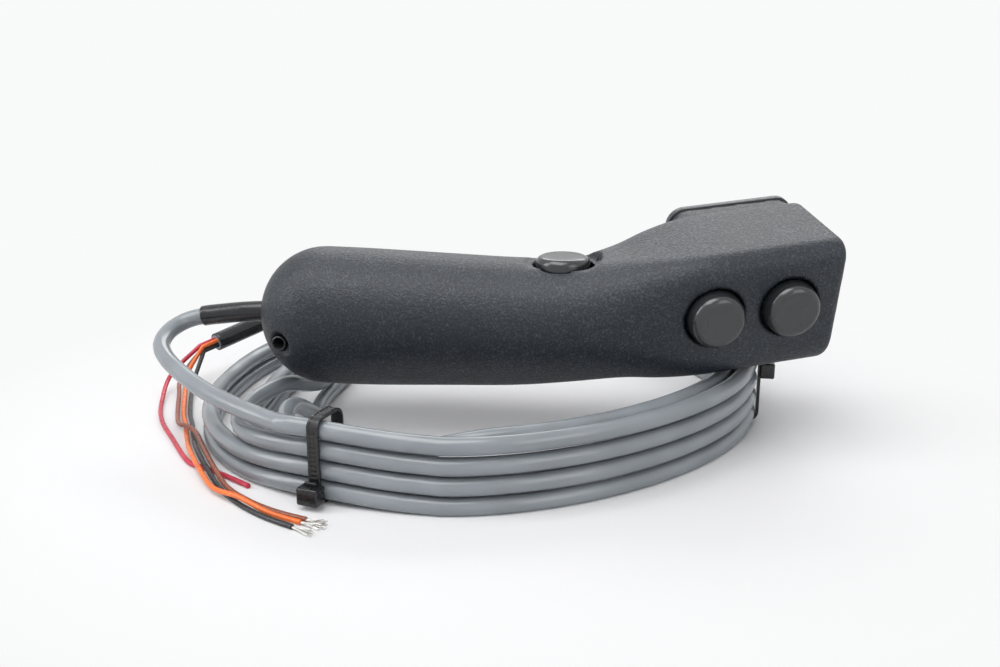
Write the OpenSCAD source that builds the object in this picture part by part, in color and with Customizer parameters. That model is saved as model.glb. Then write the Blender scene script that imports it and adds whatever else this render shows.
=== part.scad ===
// Handheld control unit with three push buttons and a coiled, tied cable.
// Frame: origin at the centre of the handle's rear end, X along the handle, Z up.

/* [Handle] */
// Length of the grip along its own axis
grip_len = 172.8; // [168:0.4:176]
// Depth of the handle, near side to far side
handle_w = 41; // [40:0.5:42]
// Height of the handle at its rear
handle_h = 42; // [41:0.5:43]
// Thickness of the housing's wall
wall_t = 3; // [2.6:0.1:3.4]
// Length of the rounded rear end
dome_len = 20; // [18:0.5:22]

/* [Head] */
// Depth of the head, near face to the cover plate
head_w = 40; // [39:0.5:41]
// Height of the head
head_h = 40; // [39:0.5:40.5]
// Length of the flange and cover plate
flange_len = 41.2; // [40:0.4:43]
// Thickness of the flange
flange_t = 4.2; // [3.6:0.2:5]
// Thickness of the cover plate
plate_t = 2; // [1.6:0.1:2.4]
// Corner radius of the flange and the plate
flange_r = 5.5; // [4.6:0.1:6]

/* [Buttons] */
// Diameter of a button's face
button_d = 16.4; // [16:0.1:16.8]
// How far a front button stands out of the head
front_proud = 4.5; // [4.2:0.1:4.8]
// How far the top button stands out of the handle's crown
top_proud = 1.3; // [1.1:0.1:1.5]
// Travel of a button
button_travel = 1.8; // [1.4:0.1:2]
// Distance between the two front buttons
button_pitch = 23.1; // [22.4:0.1:23.8]
// Distance of the right front button from the head's end
button_inset = 17.2; // [16.4:0.2:18]
// Station of the top button, as a share of the grip's length
top_share = 0.544; // [0.535:0.001:0.555]

/* [Cable] */
// Diameter of the grey cable
cord_d = 5.2; // [5:0.1:5.3]
// Diameter of an insulated conductor
core_d = 1.5; // [1.4:0.1:1.7]
// Outside diameter of the exit sleeve
sleeve_d = 6.4; // [6.2:0.1:6.8]
// Half width of the coil along the handle, to the outer turn's centre line
ring_rx = 86; // [84:0.5:88]
// Half width of the coil across the handle, to the outer turn's centre line
ring_ry = 84; // [82:0.5:86]
// Width of a cable tie's strap
strap_w = 3.6; // [3.2:0.2:4.2]
// Outside diameter of the hollow pin
pin_d = 4.6; // [4.4:0.1:4.8]

/* [Hidden] */
$fn = 48;
top_station = grip_len * top_share;

// The head's pose: centre of its end face, turned to the far side, tipped up and rolled.
head_x_share = 0.9778;
head_y_share = 0.5341;
head_z_share = 0.2762;
tip_dx = 0.6;
head_at = [grip_len * head_x_share + tip_dx, handle_w * head_y_share, handle_h * head_z_share];
head_yaw = 20.8;
head_pitch = 4.6;
head_roll = 11.3;
head_turn = [head_roll, -head_pitch, head_yaw];
near_y = -head_w / 2;
gasket_t = 0.6;
plate_y = head_w / 2 - plate_t + gasket_t;
flange_y = plate_y - gasket_t;

// The grip's sections, each a rounded rectangle on a plane across its path.
// Station, x and y and z, yaw and roll, half depth, half height, top and bottom radius.
station_shares = [0, 0.174, 0.347, 0.475, 0.567, 0.645, 0.713, 0.782, 0.885, 1];
x_shares = [0, 0.174, 0.347, 0.475, 0.567, 0.641, 0.703, 0.766, 0.872, 0.98];
y_shares = [0, 0, 0, 0, 0.007, 0.045, 0.085, 0.16, 0.335, 0.51];
z_shares = [0, -0.009, -0.005, 0.003, 0.032, 0.088, 0.145, 0.19, 0.233, 0.27];
yaw_shares = [0, 0, 0, 0.1, 0.38, 0.72, 0.91, 1, 1, 1];
roll_shares = [0, 0, 0, 0, 0.18, 0.53, 0.88, 1, 1, 1];
depth_shares = [1, 1, 0.976, 0.956, 0.937, 0.9412, 0.9546, 0.9543, 0.9481, 0.9481];
height_shares = [1, 1.01, 0.962, 0.919, 0.881, 0.8981, 0.9533, 0.9923, 0.9996, 0.9996];
top_shares = [0.95, 0.95, 0.93, 0.9, 0.8, 0.632, 0.437, 0.315, 0.294, 0.294];
low_shares = [0.95, 0.95, 0.93, 0.9, 0.86, 0.734, 0.541, 0.431, 0.42, 0.441];
// How far each station takes its depth and height from the head instead of the handle.
mix_shares = [0, 0, 0, 0, 0, 0.4, 0.8, 1, 1, 1];
half_w = handle_w / 2;
half_h = handle_h / 2;
base_w = [for (m = mix_shares) half_w + (head_w / 2 - half_w) * m];
base_h = [for (m = mix_shares) half_h + (head_h / 2 - half_h) * m];
function times(a, b) = [for (i = [0 : len(a) - 1]) a[i] * b[i]];
grip_cols = [station_shares, x_shares * grip_len, y_shares * handle_w, z_shares * handle_h,
    yaw_shares * head_yaw, roll_shares * head_roll, times(depth_shares, base_w),
    times(height_shares, base_h), times(top_shares, base_h), times(low_shares, base_h)];

// Cubic run through a table's column at the share s of the length.
function seg(s, i = 0) = i + 2 >= len(station_shares) || s <= station_shares[i + 1]
    ? i : seg(s, i + 1);
function knot(c, i) = c[max(0, min(len(station_shares) - 1, i))];
function slope(c, i) = let (a = max(i - 1, 0), b = min(i + 1, len(station_shares) - 1))
    (c[b] - c[a]) / (station_shares[b] - station_shares[a]);
function cubic(c, s) = let (i = seg(s), h = station_shares[i + 1] - station_shares[i],
    t = (s - station_shares[i]) / h, q = 1 - t)
    q * q * (1 + 2 * t) * c[i] + t * t * (3 - 2 * t) * c[i + 1]
    + t * q * q * h * slope(c, i) - t * t * q * h * slope(c, i + 1);
function grip_at(s) = [for (k = [1 : len(grip_cols) - 1]) cubic(grip_cols[k], s)];

// One ring of the grip's skin, inset by e and scaled by k about its centre.
arc_n = 9;
corners = [[1, 1, 0], [-1, 1, 90], [-1, -1, 180], [1, -1, 270]];
function section(s, e = 0, k = 1) = let (g = grip_at(s), w = (g[5] - e) * k, h = (g[6] - e) * k)
    [for (c = corners) let (r = max((c[1] > 0 ? g[7] : g[8]) - e, least_r) * k)
        for (i = [0 : arc_n - 1]) let (a = c[2] + 90 * i / (arc_n - 1))
            [c[0] * (w - r) + r * cos(a), c[1] * (h - r) + r * sin(a)]];
least_r = 1.6;
function placed(s, pts) = let (g = grip_at(s), y = g[3], r = g[4],
    du = [-sin(y) * cos(r), cos(y) * cos(r), sin(r)],
    dv = [sin(y) * sin(r), -cos(y) * sin(r), cos(r)])
    [for (p = pts) [g[0], g[1], g[2]] + p[0] * du + p[1] * dv];
dome_n = 7;
body_n = 22;
tip_n = 3;
tip_r = 2.6;
dome_share = dome_len / grip_len;
tip_share = tip_r / grip_len;
inner_end = wall_t / grip_len;
// Rings: the rounded rear, the body, and the small fillet at the head's end.
function dome_s(t, e) = e / grip_len + (dome_share - e / grip_len) * (1 - cos(t));
grip_rings = concat(
    [for (i = [1 : dome_n]) let (t = 90 * i / dome_n)
        placed(dome_s(t, 0), section(dome_s(t, 0), 0, sin(t)))],
    [for (i = [1 : body_n]) let (s = dome_share + (1 - tip_share - dome_share) * i / body_n)
        placed(s, section(s))],
    [for (i = [1 : tip_n]) let (t = 90 * i / tip_n, s = 1 - tip_share * (1 - sin(t)))
        placed(s, section(s, tip_r * (1 - cos(t))))]);
hollow_n = 14;
hollow_rings = concat(
    [for (i = [1 : dome_n - 3]) let (t = 90 * i / (dome_n - 3))
        placed(dome_s(t, wall_t), section(dome_s(t, wall_t), wall_t, sin(t)))],
    [for (i = [1 : hollow_n]) let (s = dome_share + (1 - inner_end - dome_share) * i / hollow_n)
        placed(s, section(s, wall_t))]);

// A closed skin through rings that all have the same number of points.
module skin(rings) {
    m = len(rings);
    n = len(rings[0]);
    pts = [for (r = rings) for (p = r) p];
    walls = [for (i = [0 : m - 2]) for (j = [0 : n - 1]) let (k = (j + 1) % n)
        each [[i * n + j, (i + 1) * n + k, i * n + k], [i * n + j, (i + 1) * n + j, (i + 1) * n + k]]];
    ends = [for (j = [1 : n - 2]) each [[0, j, j + 1],
        [(m - 1) * n, (m - 1) * n + j + 1, (m - 1) * n + j]]];
    polyhedron(points = pts, faces = concat(walls, ends), convexity = 8);
}

// Rings of a round tube along points; first and last directions may be given.
function unit(v) = v / norm(v);
function way(p, i) = i == 0 ? unit(p[1] - p[0]) : i == len(p) - 1 ? unit(p[i] - p[i - 1])
    : unit(unit(p[i + 1] - p[i]) + unit(p[i] - p[i - 1]));
function tube_rings(p, r, n, spin = 0, low = -1000) = [for (i = [0 : len(p) - 1])
    let (t = way(p, i), f = abs(t[2]) < steep_share ? [0, 0, 1] : [1, 0, 0],
        u = unit(cross(f, t)), v = cross(t, u))
    [for (j = [0 : n - 1]) let (a = spin + 360 * j / n, q = p[i] + r * (cos(a) * u + sin(a) * v))
        [q[0], q[1], max(q[2], low)]]];
steep_share = 0.9;
module tube(p, r, n = 8) { skin(tube_rings(p, r, n)); }
// A curve through hand-set points, m steps between each two.
function bend4(a, b, c, d, t) = 0.5 * (2 * b + (c - a) * t + (2 * a - 5 * b + 4 * c - d) * t * t
    + (3 * b - a - 3 * c + d) * t * t * t);
function curve(p, m) = [for (i = [0 : len(p) - 2]) for (j = [0 : m - 1])
    bend4(p[max(i - 1, 0)], p[i], p[i + 1], p[min(i + 2, len(p) - 1)], j / m), p[len(p) - 1]];

// Turns of the head's frame as matrices, for points that leads run to.
function rot_x(v, a) = [v[0], v[1] * cos(a) - v[2] * sin(a), v[1] * sin(a) + v[2] * cos(a)];
function rot_y(v, a) = [v[0] * cos(a) + v[2] * sin(a), v[1], v[2] * cos(a) - v[0] * sin(a)];
function rot_z(v, a) = [v[0] * cos(a) - v[1] * sin(a), v[0] * sin(a) + v[1] * cos(a), v[2]];
function head_point(p) = head_at + rot_z(rot_y(rot_x(p, head_roll), -head_pitch), head_yaw);
module in_head() { translate(head_at) rotate(head_turn) children(); }
front_up = 2.1;
front_back = [button_inset + button_pitch, button_inset];
top_grip = grip_at(top_station / grip_len);
crown_z = top_grip[2] + top_grip[6];
top_at = [top_station, top_grip[1], crown_z + top_proud];
// Frame of a button: origin at the centre of its face, Z out of the housing.
module at_button(k) {
    if (k < 2) in_head() translate([-front_back[k], near_y - front_proud, front_up])
        rotate([90, 0, 0]) children();
    else translate(top_at) children();
}
function button_point(k, p) = k < 2
    ? head_point([p[0] - front_back[k], near_y - front_proud - p[2], p[1] + front_up])
    : top_at + p;

// Cap, pocket, wall floor, bush, nut, seal, body, plunger and spring, as depths below the face.
cap_h = 6;
cap_r = button_d / 2;
cap_flare = 0.5;
cap_round = 1.2;
cap_top_t = 1.8;
cap_skirt_t = 1;
cap_gap = 0.35;
stem_r = 2;
stem_boss_r = 3.4;
stem_gap = 0.05;
pocket_r = cap_r + cap_flare + cap_gap;
pocket_z = cap_h + button_travel + 0.3;
floor_t = 2.4;
floor_z = pocket_z + floor_t;
boss_r = pocket_r + 2.2;
bush_r = 5;
bush_gap = 0.05;
bush_top_z = pocket_z - 2.6;
nut_t = 1.8;
nut_flat = 11.8;
nut_gap = 0.05;
seal_t = 0.8;
seal_r = 7.4;
body_r = 7.4;
body_len = 12;
body_z = floor_z + seal_t;
body_end_z = body_z + body_len;
bore_r = 3.8;
bore_top_z = body_z + 1.6;
bore_end_z = body_end_z - 1.8;
stem_bore_r = stem_r + stem_gap;
collar_r = bore_r - 0.05;
collar_t = 1.2;
collar_z = bore_top_z + 0.05;
spring_top_z = collar_z + collar_t;
spring_r = 2.7;
spring_wire = 0.5;
spring_turns = 4;
pin_off = 3.6;
term_r = 0.8;
term_len = 6;
spot_r = 11.6;
spot_depth = 1.2;
room_gap = 0.6;
lens_n = 60;

module housing() {
    color([0.07, 0.07, 0.08]) difference() {
        union() {
            difference() {
                union() {
                    skin(grip_rings);
                    in_head() translate([0, flange_y, 0]) rotate([90, 0, 0])
                        linear_extrude(flange_t) flange_shape(flange_back, flange_slip);
                }
                skin(hollow_rings);
                in_head() translate([0, flange_y + cut_over, 0]) rotate([90, 0, 0])
                    linear_extrude(flange_t + window_more) window_shape();
            }
            for (k = [0, 1]) at_button(k) translate([0, 0, -floor_z])
                cylinder(r = boss_r, h = floor_z - front_proud - boss_under, $fn = lens_n);
            at_button(2) translate([0, 0, -floor_z])
                cylinder(r = boss_r, h = floor_z - top_proud - top_boss_under, $fn = lens_n);
            in_head() for (p = screw_spots) translate([p[0], flange_y - flange_t - post_more, p[1]])
                rotate([-90, 0, 0]) cylinder(r = post_r, h = flange_t + post_more - post_under);
        }
        in_head() translate([-flange_len - 2, flange_y, -head_h]) cube([flange_len + 2 * tip_r, head_w, 2 * head_h]);
        for (k = [0, 1, 2]) at_button(k) {
            translate([0, 0, -pocket_z]) cylinder(r = pocket_r, h = pocket_z + cut_over, $fn = lens_n);
            translate([0, 0, -floor_z - cut_over]) cylinder(r = bush_r + bush_gap, h = floor_z);
            translate([0, 0, -body_end_z - room_gap]) cylinder(r = body_r + room_gap, h = body_end_z - floor_z + room_gap);
        }
        at_button(2) translate([0, 0, -top_proud - spot_depth])
            cylinder(r = spot_r, h = top_proud + spot_depth + cut_over, $fn = lens_n);
        in_head() for (p = screw_spots) translate([p[0], flange_y + cut_over, p[1]])
            rotate([90, 0, 0]) cylinder(r = screw_r, h = screw_len);
        translate([-dome_len, 0, 0]) rotate([0, 90, 0]) cylinder(r = sleeve_d / 2 + sleeve_gap, h = 2 * dome_len);
        translate([pin_x, -handle_w, pin_z]) rotate([-90, 0, 0]) cylinder(r = pin_d / 2, h = 2 * handle_w);
        translate([pin_x, -pin_spot_y, pin_z]) rotate([90, 0, 0]) cylinder(r = pin_spot_r, h = pin_spot_y);
    }
}
flange_back = 0.6;
flange_slip = 0.2;
cut_over = 0.5;
window_more = 3.4;
window_edge = 6.4;
window_r = 3;
boss_under = 0.6;
top_boss_under = 4.5;
post_r = 3;
post_more = 5;
post_under = 0.4;
screw_r = 1.25;
screw_len = 8;
screw_in = 4.6;
sleeve_gap = 0.05;
pin_x = 9.8;
pin_z = -5.4;
pin_spot_y = 16;
pin_spot_r = 3.9;
flange_h = head_h / 2;
screw_spots = [for (i = [0, 1], j = [-1, 1])
    [i == 0 ? -screw_in : -flange_len + screw_in, j * (flange_h - screw_in)]];
// Outline of the flange: a rectangle with four round corners, smaller by e all round.
module flange_shape(b, e) {
    translate([-flange_len + e, -flange_h + e]) round_box(flange_len - b - e, 2 * (flange_h - e), flange_r);
}
module window_shape() {
    translate([-flange_len + window_edge, -flange_h + window_edge])
        round_box(flange_len - 2 * window_edge, 2 * (flange_h - window_edge), window_r);
}
module round_box(w, h, r) {
    union() {
        translate([r, 0]) square([w - 2 * r, h]);
        translate([0, r]) square([w, h - 2 * r]);
        for (x = [r, w - r], y = [r, h - r]) translate([x, y]) circle(r);
    }
}

module cover_plate() {
    color([0.16, 0.16, 0.17]) in_head() difference() {
        translate([0, plate_y + plate_t, 0]) rotate([90, 0, 0]) linear_extrude(plate_t) flange_shape(0, 0);
        for (p = screw_spots) translate([p[0], plate_y - cut_over, p[1]]) rotate([-90, 0, 0]) {
            cylinder(r = screw_r + screw_play, h = plate_t + 2 * cut_over);
            translate([0, 0, cut_over + plate_t - head_sink])
                cylinder(r = screw_head_r + screw_play, h = plate_t);
        }
    }
}
screw_play = 0.1;
screw_head_r = 2.3;
head_sink = 1.2;
socket_r = 0.9;

module cover_gasket() {
    color([0.05, 0.05, 0.05]) in_head() difference() {
        translate([0, plate_y, 0]) rotate([90, 0, 0]) linear_extrude(gasket_t) difference() {
            flange_shape(flange_back + gasket_in, gasket_in);
            window_shape();
        }
        for (p = screw_spots) translate([p[0], plate_y - plate_t, p[1]])
            rotate([-90, 0, 0]) cylinder(r = screw_r + screw_play, h = 2 * plate_t);
    }
}
gasket_in = 0.5;

module cover_screws() {
    color([0.5, 0.5, 0.52]) in_head() for (p = screw_spots)
        translate([p[0], plate_y + plate_t - head_sink, p[1]]) rotate([-90, 0, 0]) difference() {
            union() {
                cylinder(r = screw_head_r, h = head_sink);
                translate([0, 0, -screw_shank]) cylinder(r = screw_r, h = screw_shank);
            }
            translate([0, 0, head_sink - socket_r]) cylinder(r = socket_r, h = head_sink);
        }
}
screw_shank = screw_len - 1;

// A switch in its button's frame: threaded bush through the wall, body behind it.
module switch_body() {
    difference() {
        union() {
            translate([0, 0, -floor_z]) cylinder(r = bush_r, h = floor_z - bush_top_z);
            translate([0, 0, -body_z]) cylinder(r = bush_r, h = seal_t);
            translate([0, 0, -body_end_z]) cylinder(r = body_r, h = body_len);
        }
        translate([0, 0, -bore_end_z]) cylinder(r = bore_r, h = bore_end_z - bore_top_z);
        translate([0, 0, -bore_end_z]) cylinder(r = stem_bore_r, h = bore_end_z);
        for (s = [-1, 1]) translate([s * pin_off, 0, -body_end_z - cut_over])
            cylinder(r = term_r, h = cut_over + 1);
    }
}
module left_switch() { color([0.2, 0.2, 0.22]) at_button(0) switch_body(); }
module right_switch() { color([0.2, 0.2, 0.22]) at_button(1) switch_body(); }
module top_switch() { color([0.2, 0.2, 0.22]) at_button(2) switch_body(); }
module switch_nuts() {
    color([0.7, 0.7, 0.68]) for (k = [0, 1, 2]) at_button(k) translate([0, 0, -pocket_z]) difference() {
        intersection_for(a = [0, 60, 120]) rotate([0, 0, a])
            translate([-nut_flat, -nut_flat / 2, 0]) cube([2 * nut_flat, nut_flat, nut_t]);
        translate([0, 0, -nut_t]) cylinder(r = bush_r + nut_gap, h = 3 * nut_t);
    }
}
module switch_seals() {
    color([0.1, 0.1, 0.1]) for (k = [0, 1, 2]) at_button(k) translate([0, 0, -body_z]) difference() {
        cylinder(r = seal_r, h = seal_t);
        translate([0, 0, -seal_t]) cylinder(r = bush_r + nut_gap, h = 3 * seal_t);
    }
}
module switch_terminals() {
    color([0.8, 0.65, 0.3]) for (k = [0, 1, 2], s = [-1, 1]) at_button(k)
        translate([s * pin_off, 0, -body_end_z - term_len]) cylinder(r = term_r, h = term_len + 1);
}
module coil_spring() {
    n = spring_turns * 10;
    top = -spring_top_z - spring_wire / 2 - slack;
    drop = bore_end_z - spring_top_z - spring_wire - 2 * slack;
    skin(tube_rings([for (i = [0 : n]) let (a = 360 * i / 10)
        [spring_r * cos(a), spring_r * sin(a), top - drop * i / n]], spring_wire / 2, 6));
}
slack = 0.05;
module left_spring() { color([0.75, 0.75, 0.77]) at_button(0) coil_spring(); }
module right_spring() { color([0.75, 0.75, 0.77]) at_button(1) coil_spring(); }
module top_spring() { color([0.75, 0.75, 0.77]) at_button(2) coil_spring(); }
module cap() {
    difference() {
        rotate_extrude($fn = lens_n) polygon(concat([[0, -cap_h], [cap_r + cap_flare, -cap_h]],
            [for (a = [0 : 15 : 90]) [cap_r - cap_round + cap_round * cos(a), cap_round * sin(a) - cap_round]],
            [[0, 0]]));
        translate([0, 0, -cap_h - cut_over]) difference() {
            cylinder(r = cap_r - cap_skirt_t, h = cap_h + cut_over - cap_top_t);
            cylinder(r = stem_boss_r, h = cap_h + cut_over);
        }
        translate([0, 0, -cap_h - cut_over]) cylinder(r = stem_r, h = cap_h + cut_over - cap_top_t);
        translate([0, 0, -cap_h - cut_over]) cylinder(r = cap_r - cap_skirt_t, h = cut_over + cap_h - stem_boss_z);
    }
}
stem_boss_z = 3.2;
module left_cap() { color([0.08, 0.08, 0.09]) at_button(0) cap(); }
module right_cap() { color([0.08, 0.08, 0.09]) at_button(1) cap(); }
module top_cap() { color([0.08, 0.08, 0.09]) at_button(2) cap(); }
module plunger() {
    translate([0, 0, -collar_z]) cylinder(r = stem_r, h = collar_z - cap_top_t);
    translate([0, 0, -collar_z - collar_t]) cylinder(r = collar_r, h = collar_t);
}
module left_plunger() { color([0.85, 0.85, 0.8]) at_button(0) plunger(); }
module right_plunger() { color([0.85, 0.85, 0.8]) at_button(1) plunger(); }
module top_plunger() { color([0.85, 0.85, 0.8]) at_button(2) plunger(); }

// Cable exit: sleeve, clamp and hollow pin. The route starts inside the housing.
exit_in = 6;
exit_route = [[exit_in, 0, 0], [exit_in / 2, 0, 0], [0, 0, 0], [-7, 0.1, -0.6], [-14, 0.6, -1.6], [-21, 1, -2.8]];
exit_count = 2 * (len(exit_route) - 1);
tube_n = 12;
collar_w = 1.8;
collar_out = 0.9;
function some(r, a, b) = [for (i = [a : b]) r[i]];
function shifted(r, v) = [for (p = r) p + v];
// A sleeve on rings a to b of a path: the same rings, larger, less a slightly wider core.
module sleeve_on(path, a, b, out_d, n) {
    outer = tube_rings(path, out_d / 2, n);
    core = tube_rings(path, cord_d / 2 + sleeve_gap, n);
    first = unit(path[a] - path[a + 1]);
    last = unit(path[b] - path[b - 1]);
    difference() {
        skin(some(outer, a, b));
        skin(concat([shifted(core[a], first)], some(core, a, b), [shifted(core[b], last)]));
    }
}
module exit_sleeve() {
    color([0.06, 0.06, 0.06]) {
        sleeve_on(lead_path, 0, exit_count, sleeve_d, tube_n);
        translate([exit_in - collar_w, 0, 0]) rotate([0, 90, 0]) difference() {
            cylinder(r = sleeve_d / 2 + collar_out, h = collar_w);
            translate([0, 0, -1]) cylinder(r = sleeve_d / 2 - collar_bite, h = collar_w + 2);
        }
    }
}
collar_bite = 0.3;
clamp_x = 12.4;
clamp_w = 10;
clamp_d = 16.8;
clamp_low_share = 0.3238;
clamp_low = -handle_h * clamp_low_share;
clamp_top = 5.4;
clamp_split = 0.4;
clamp_screw_y = 5.8;
clamp_screw_r = 1.2;
clamp_head_r = 2.1;
clamp_head_h = 1.6;
clamp_depth = 6;
clamp_back = 7.2;
clamp_grip = 0.02;
module clamp_block() {
    color([0.25, 0.25, 0.27]) difference() {
        union() {
            translate([clamp_x, -clamp_d / 2, clamp_low]) cube([clamp_w, clamp_d, -clamp_low - clamp_split / 2]);
            translate([pin_x, -clamp_d / 2, pin_z]) rotate([-90, 0, 0]) cylinder(r = pin_d / 2 + 1.2, h = clamp_d);
            translate([pin_x, -clamp_d / 2, pin_z - clamp_tab / 2]) cube([clamp_x - pin_x + 1, clamp_d, clamp_tab]);
        }
        translate([0, 0, 0]) rotate([0, 90, 0]) cylinder(r = cord_d / 2, h = 2 * dome_len);
        translate([pin_x, -clamp_d, pin_z]) rotate([-90, 0, 0]) cylinder(r = pin_d / 2, h = 2 * clamp_d);
        for (s = [-1, 1]) translate([clamp_x + clamp_w / 2, s * clamp_screw_y, -clamp_depth])
            cylinder(r = clamp_screw_r, h = 2 * clamp_depth);
    }
}
clamp_tab = 5;
module clamp_saddle() {
    color([0.25, 0.25, 0.27]) difference() {
        translate([clamp_x, -clamp_d / 2, clamp_split / 2]) cube([clamp_w, clamp_d, clamp_top - clamp_split / 2]);
        rotate([0, 90, 0]) cylinder(r = cord_d / 2, h = 2 * dome_len);
        for (s = [-1, 1]) translate([clamp_x + clamp_w / 2, s * clamp_screw_y, -clamp_depth])
            cylinder(r = clamp_screw_r + screw_play, h = 3 * clamp_depth);
    }
}
module clamp_screws() {
    color([0.6, 0.6, 0.62]) for (s = [-1, 1]) translate([clamp_x + clamp_w / 2, s * clamp_screw_y, 0]) {
        translate([0, 0, -clamp_depth]) cylinder(r = clamp_screw_r, h = clamp_depth + clamp_top);
        translate([0, 0, clamp_top]) cylinder(r = clamp_head_r, h = clamp_head_h);
    }
}
pin_half = 16.5;
pin_bore_r = 1.65;
module hollow_pin() {
    color([0.1, 0.1, 0.1]) translate([pin_x, -pin_half, pin_z]) rotate([-90, 0, 0]) difference() {
        cylinder(r = pin_d / 2, h = 2 * pin_half);
        translate([0, 0, -1]) cylinder(r = pin_bore_r, h = 2 * pin_half + 2);
    }
}
inner_len = 44;
module inner_cable() {
    color([0.45, 0.47, 0.5]) translate([exit_in, 0, 0]) rotate([0, 90, 0]) cylinder(r = cord_d / 2, h = inner_len - exit_in);
}
lead_r = 0.5;
lead_off = 1.7;
lead_turns = [180, 240, 300, 0, 120, 60];
lead_lanes = [-8.5, -5.5, 5.5, 8.5];
head_lanes = [-9, -6, 3.4, 6.8];
lead_low = -8;
lane_from = 74;
lane_to = 100;
neck_x = -56;
neck_z = -6;
pass_x = -34;
pass_y = 6;
lead_runs = [3.5, 6, 3];
top_lane = 1.5;
// Leads from the inner cable to the terminals, one to each.
module switch_leads() {
    color([0.5, 0.5, 0.5]) for (k = [0, 1, 2], s = [0, 1]) {
        i = 2 * k + s;
        a = [inner_len, lead_off * cos(lead_turns[i]), lead_off * sin(lead_turns[i])];
        x = (2 * s - 1) * pin_off;
        b = button_point(k, [x, 0, -body_end_z - term_len]);
        c = button_point(k, [x, 0, -body_end_z - term_len - lead_runs[k]]);
        way_1 = k == 2 ? [[inner_len + 20, x / pin_off * top_lane, 2], [top_station - 10, x / pin_off * top_lane, -6]]
            : [[lane_from, lead_lanes[i], lead_low], [lane_to, lead_lanes[i], lead_low],
                head_point([neck_x, head_lanes[i], neck_z])];
        way_2 = k == 1 ? [head_point([pass_x, head_lanes[i] + pass_y, neck_z])] : [];
        tube(curve(concat([a, a + [2, 0, 0]], way_1, way_2, [c, b]), 2), lead_r, 6);
    }
}

front_tie_az = 252;
rear_tie_az = 0;
// The coil: a slot is a column inward and a layer up; each turn drops one slot.
ground_z = -36.2;
pitch = cord_d + 0.5;
flat_cut = cord_d / 10;
first_z = ground_z + cord_d / 2 - flat_cut;
ring_at = [66, 22];
round_share = 0.87;
start_az = 252;
shift_az = 36;
first_drop_az = 468;
lift_h = 1.5;
lift_az = 24;
home_slots = [[1, 3], [1, 2], [1, 1], [1, 0], [0, 0], [0, 1], [0, 2], [0, 3]];
spread_slots = [[1, 3], [5.8, 0], [3, 1], [3, 0], [0, 0], [0, 1], [5.8, 1], [0, 3]];
// Azimuths at which a slot starts and ends its slide sideways on the left, out and back.
slide_from = [0, 118, 130, 130, 0, 0, 132, 0];
slide_to = [0, 170, 176, 176, 0, 0, 178, 0];
slide_back = [0, 196, 186, 186, 0, 0, 178, 0];
slide_home = [0, 251, 236, 236, 0, 0, 236, 0];
drop_from = [0, 150, 130, 130, 0, 0, 164, 0];
drop_to = [0, 172, 176, 176, 0, 0, 182, 0];
lift_from = [0, 196, 186, 186, 0, 0, 182, 0];
lift_to = [0, 224, 236, 236, 0, 0, 202, 0];
function ease(t) = let (c = max(0, min(1, t))) c * c * (3 - 2 * c);
function held(a, f, t, b, h) = t <= f ? 0 : ease((a - f) / (t - f)) * ease((h - a) / (h - b));
function slot_at(k, a) = let (h = home_slots[k], w = spread_slots[k],
    x = held(a, slide_from[k], slide_to[k], slide_back[k], slide_home[k]),
    z = held(a, drop_from[k], drop_to[k], lift_from[k], lift_to[k]))
    [h[0] + (w[0] - h[0]) * x, h[1] + (w[1] - h[1]) * z];
function drops(t, n = 0) = n >= 7 ? 0
    : ease((t - (first_drop_az + (360 - shift_az) * n)) / shift_az) + drops(t, n + 1);
function coil_point(t) = let (d = drops(t), k = 7 - floor(d), f = d - floor(d), a = t % 360,
    p = slot_at(k, a), q = slot_at(max(k - 1, 0), a), s = p + (q - p) * f)
    let (o = outline(a) - s[0] * pitch * normal_at(a)) [o[0], o[1],
        first_z + s[1] * pitch + lift_h * (near_tie(a, front_tie_az) + near_tie(a, rear_tie_az))
            + end_rise * ease((t - end_rise_az) / lift_az / 2)];
end_rise = 0.9;
end_rise_az = 2604;
// The ring is a little fuller than an ellipse, and leaner where it runs back under the head.
function fuller(v, share) = sign(v) * pow(abs(v), share);
function outline(a) = let (share = a % 360 > 270 ? lean_share : round_share)
    ring_at + [ring_rx * fuller(cos(a), share), ring_ry * fuller(sin(a), share)];
function normal_at(a) = let (d = outline(a + 360 + 2) - outline(a + 360 - 2)) unit([d[1], -d[0]]);
lean_share = 1.2;
function near_tie(a, c) = ease(1 - min(abs(a - c), 360 - abs(a - c)) / lift_az);
coil_step = 15;
coil_n = 160;
coil_mid = [for (i = [0 : coil_n]) coil_point(start_az + coil_step * i)];
coil_in_dir = unit(coil_mid[1] - coil_mid[0]);
coil_out_dir = unit(coil_mid[coil_n] - coil_mid[coil_n - 1]);
coil_path = concat([coil_mid[0] - coil_in_dir * cord_d], coil_mid, [coil_mid[coil_n] + coil_out_dir * cord_d]);
// Least distance of a point to the stretches of other turns.
function to_seg(p, a, b) = let (d = b - a, t = max(0, min(1, (p - a) * d / (d * d)))) norm(p - a - d * t);
coil_gap = min([for (i = [0 : coil_n]) for (j = [0 : coil_n - 1]) if (abs(i - j) > 12)
    to_seg(coil_mid[i], coil_mid[j], coil_mid[j + 1])]) - cord_d;
function run_len(p) = len(p) < 2 ? 0 : [for (i = 1, s = norm(p[1] - p[0]); i < len(p);
    i = i + 1, s = s + (i < len(p) ? norm(p[i] - p[i - 1]) : 0)) s][len(p) - 2];
module cable_coil() {
    echo(coil_gap = coil_gap, coil_length = run_len(coil_path), coil_rings = len(coil_path));
    color([0.45, 0.47, 0.5]) skin(tube_rings(coil_path, cord_d / 2, 6, 0, ground_z));
}
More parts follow.
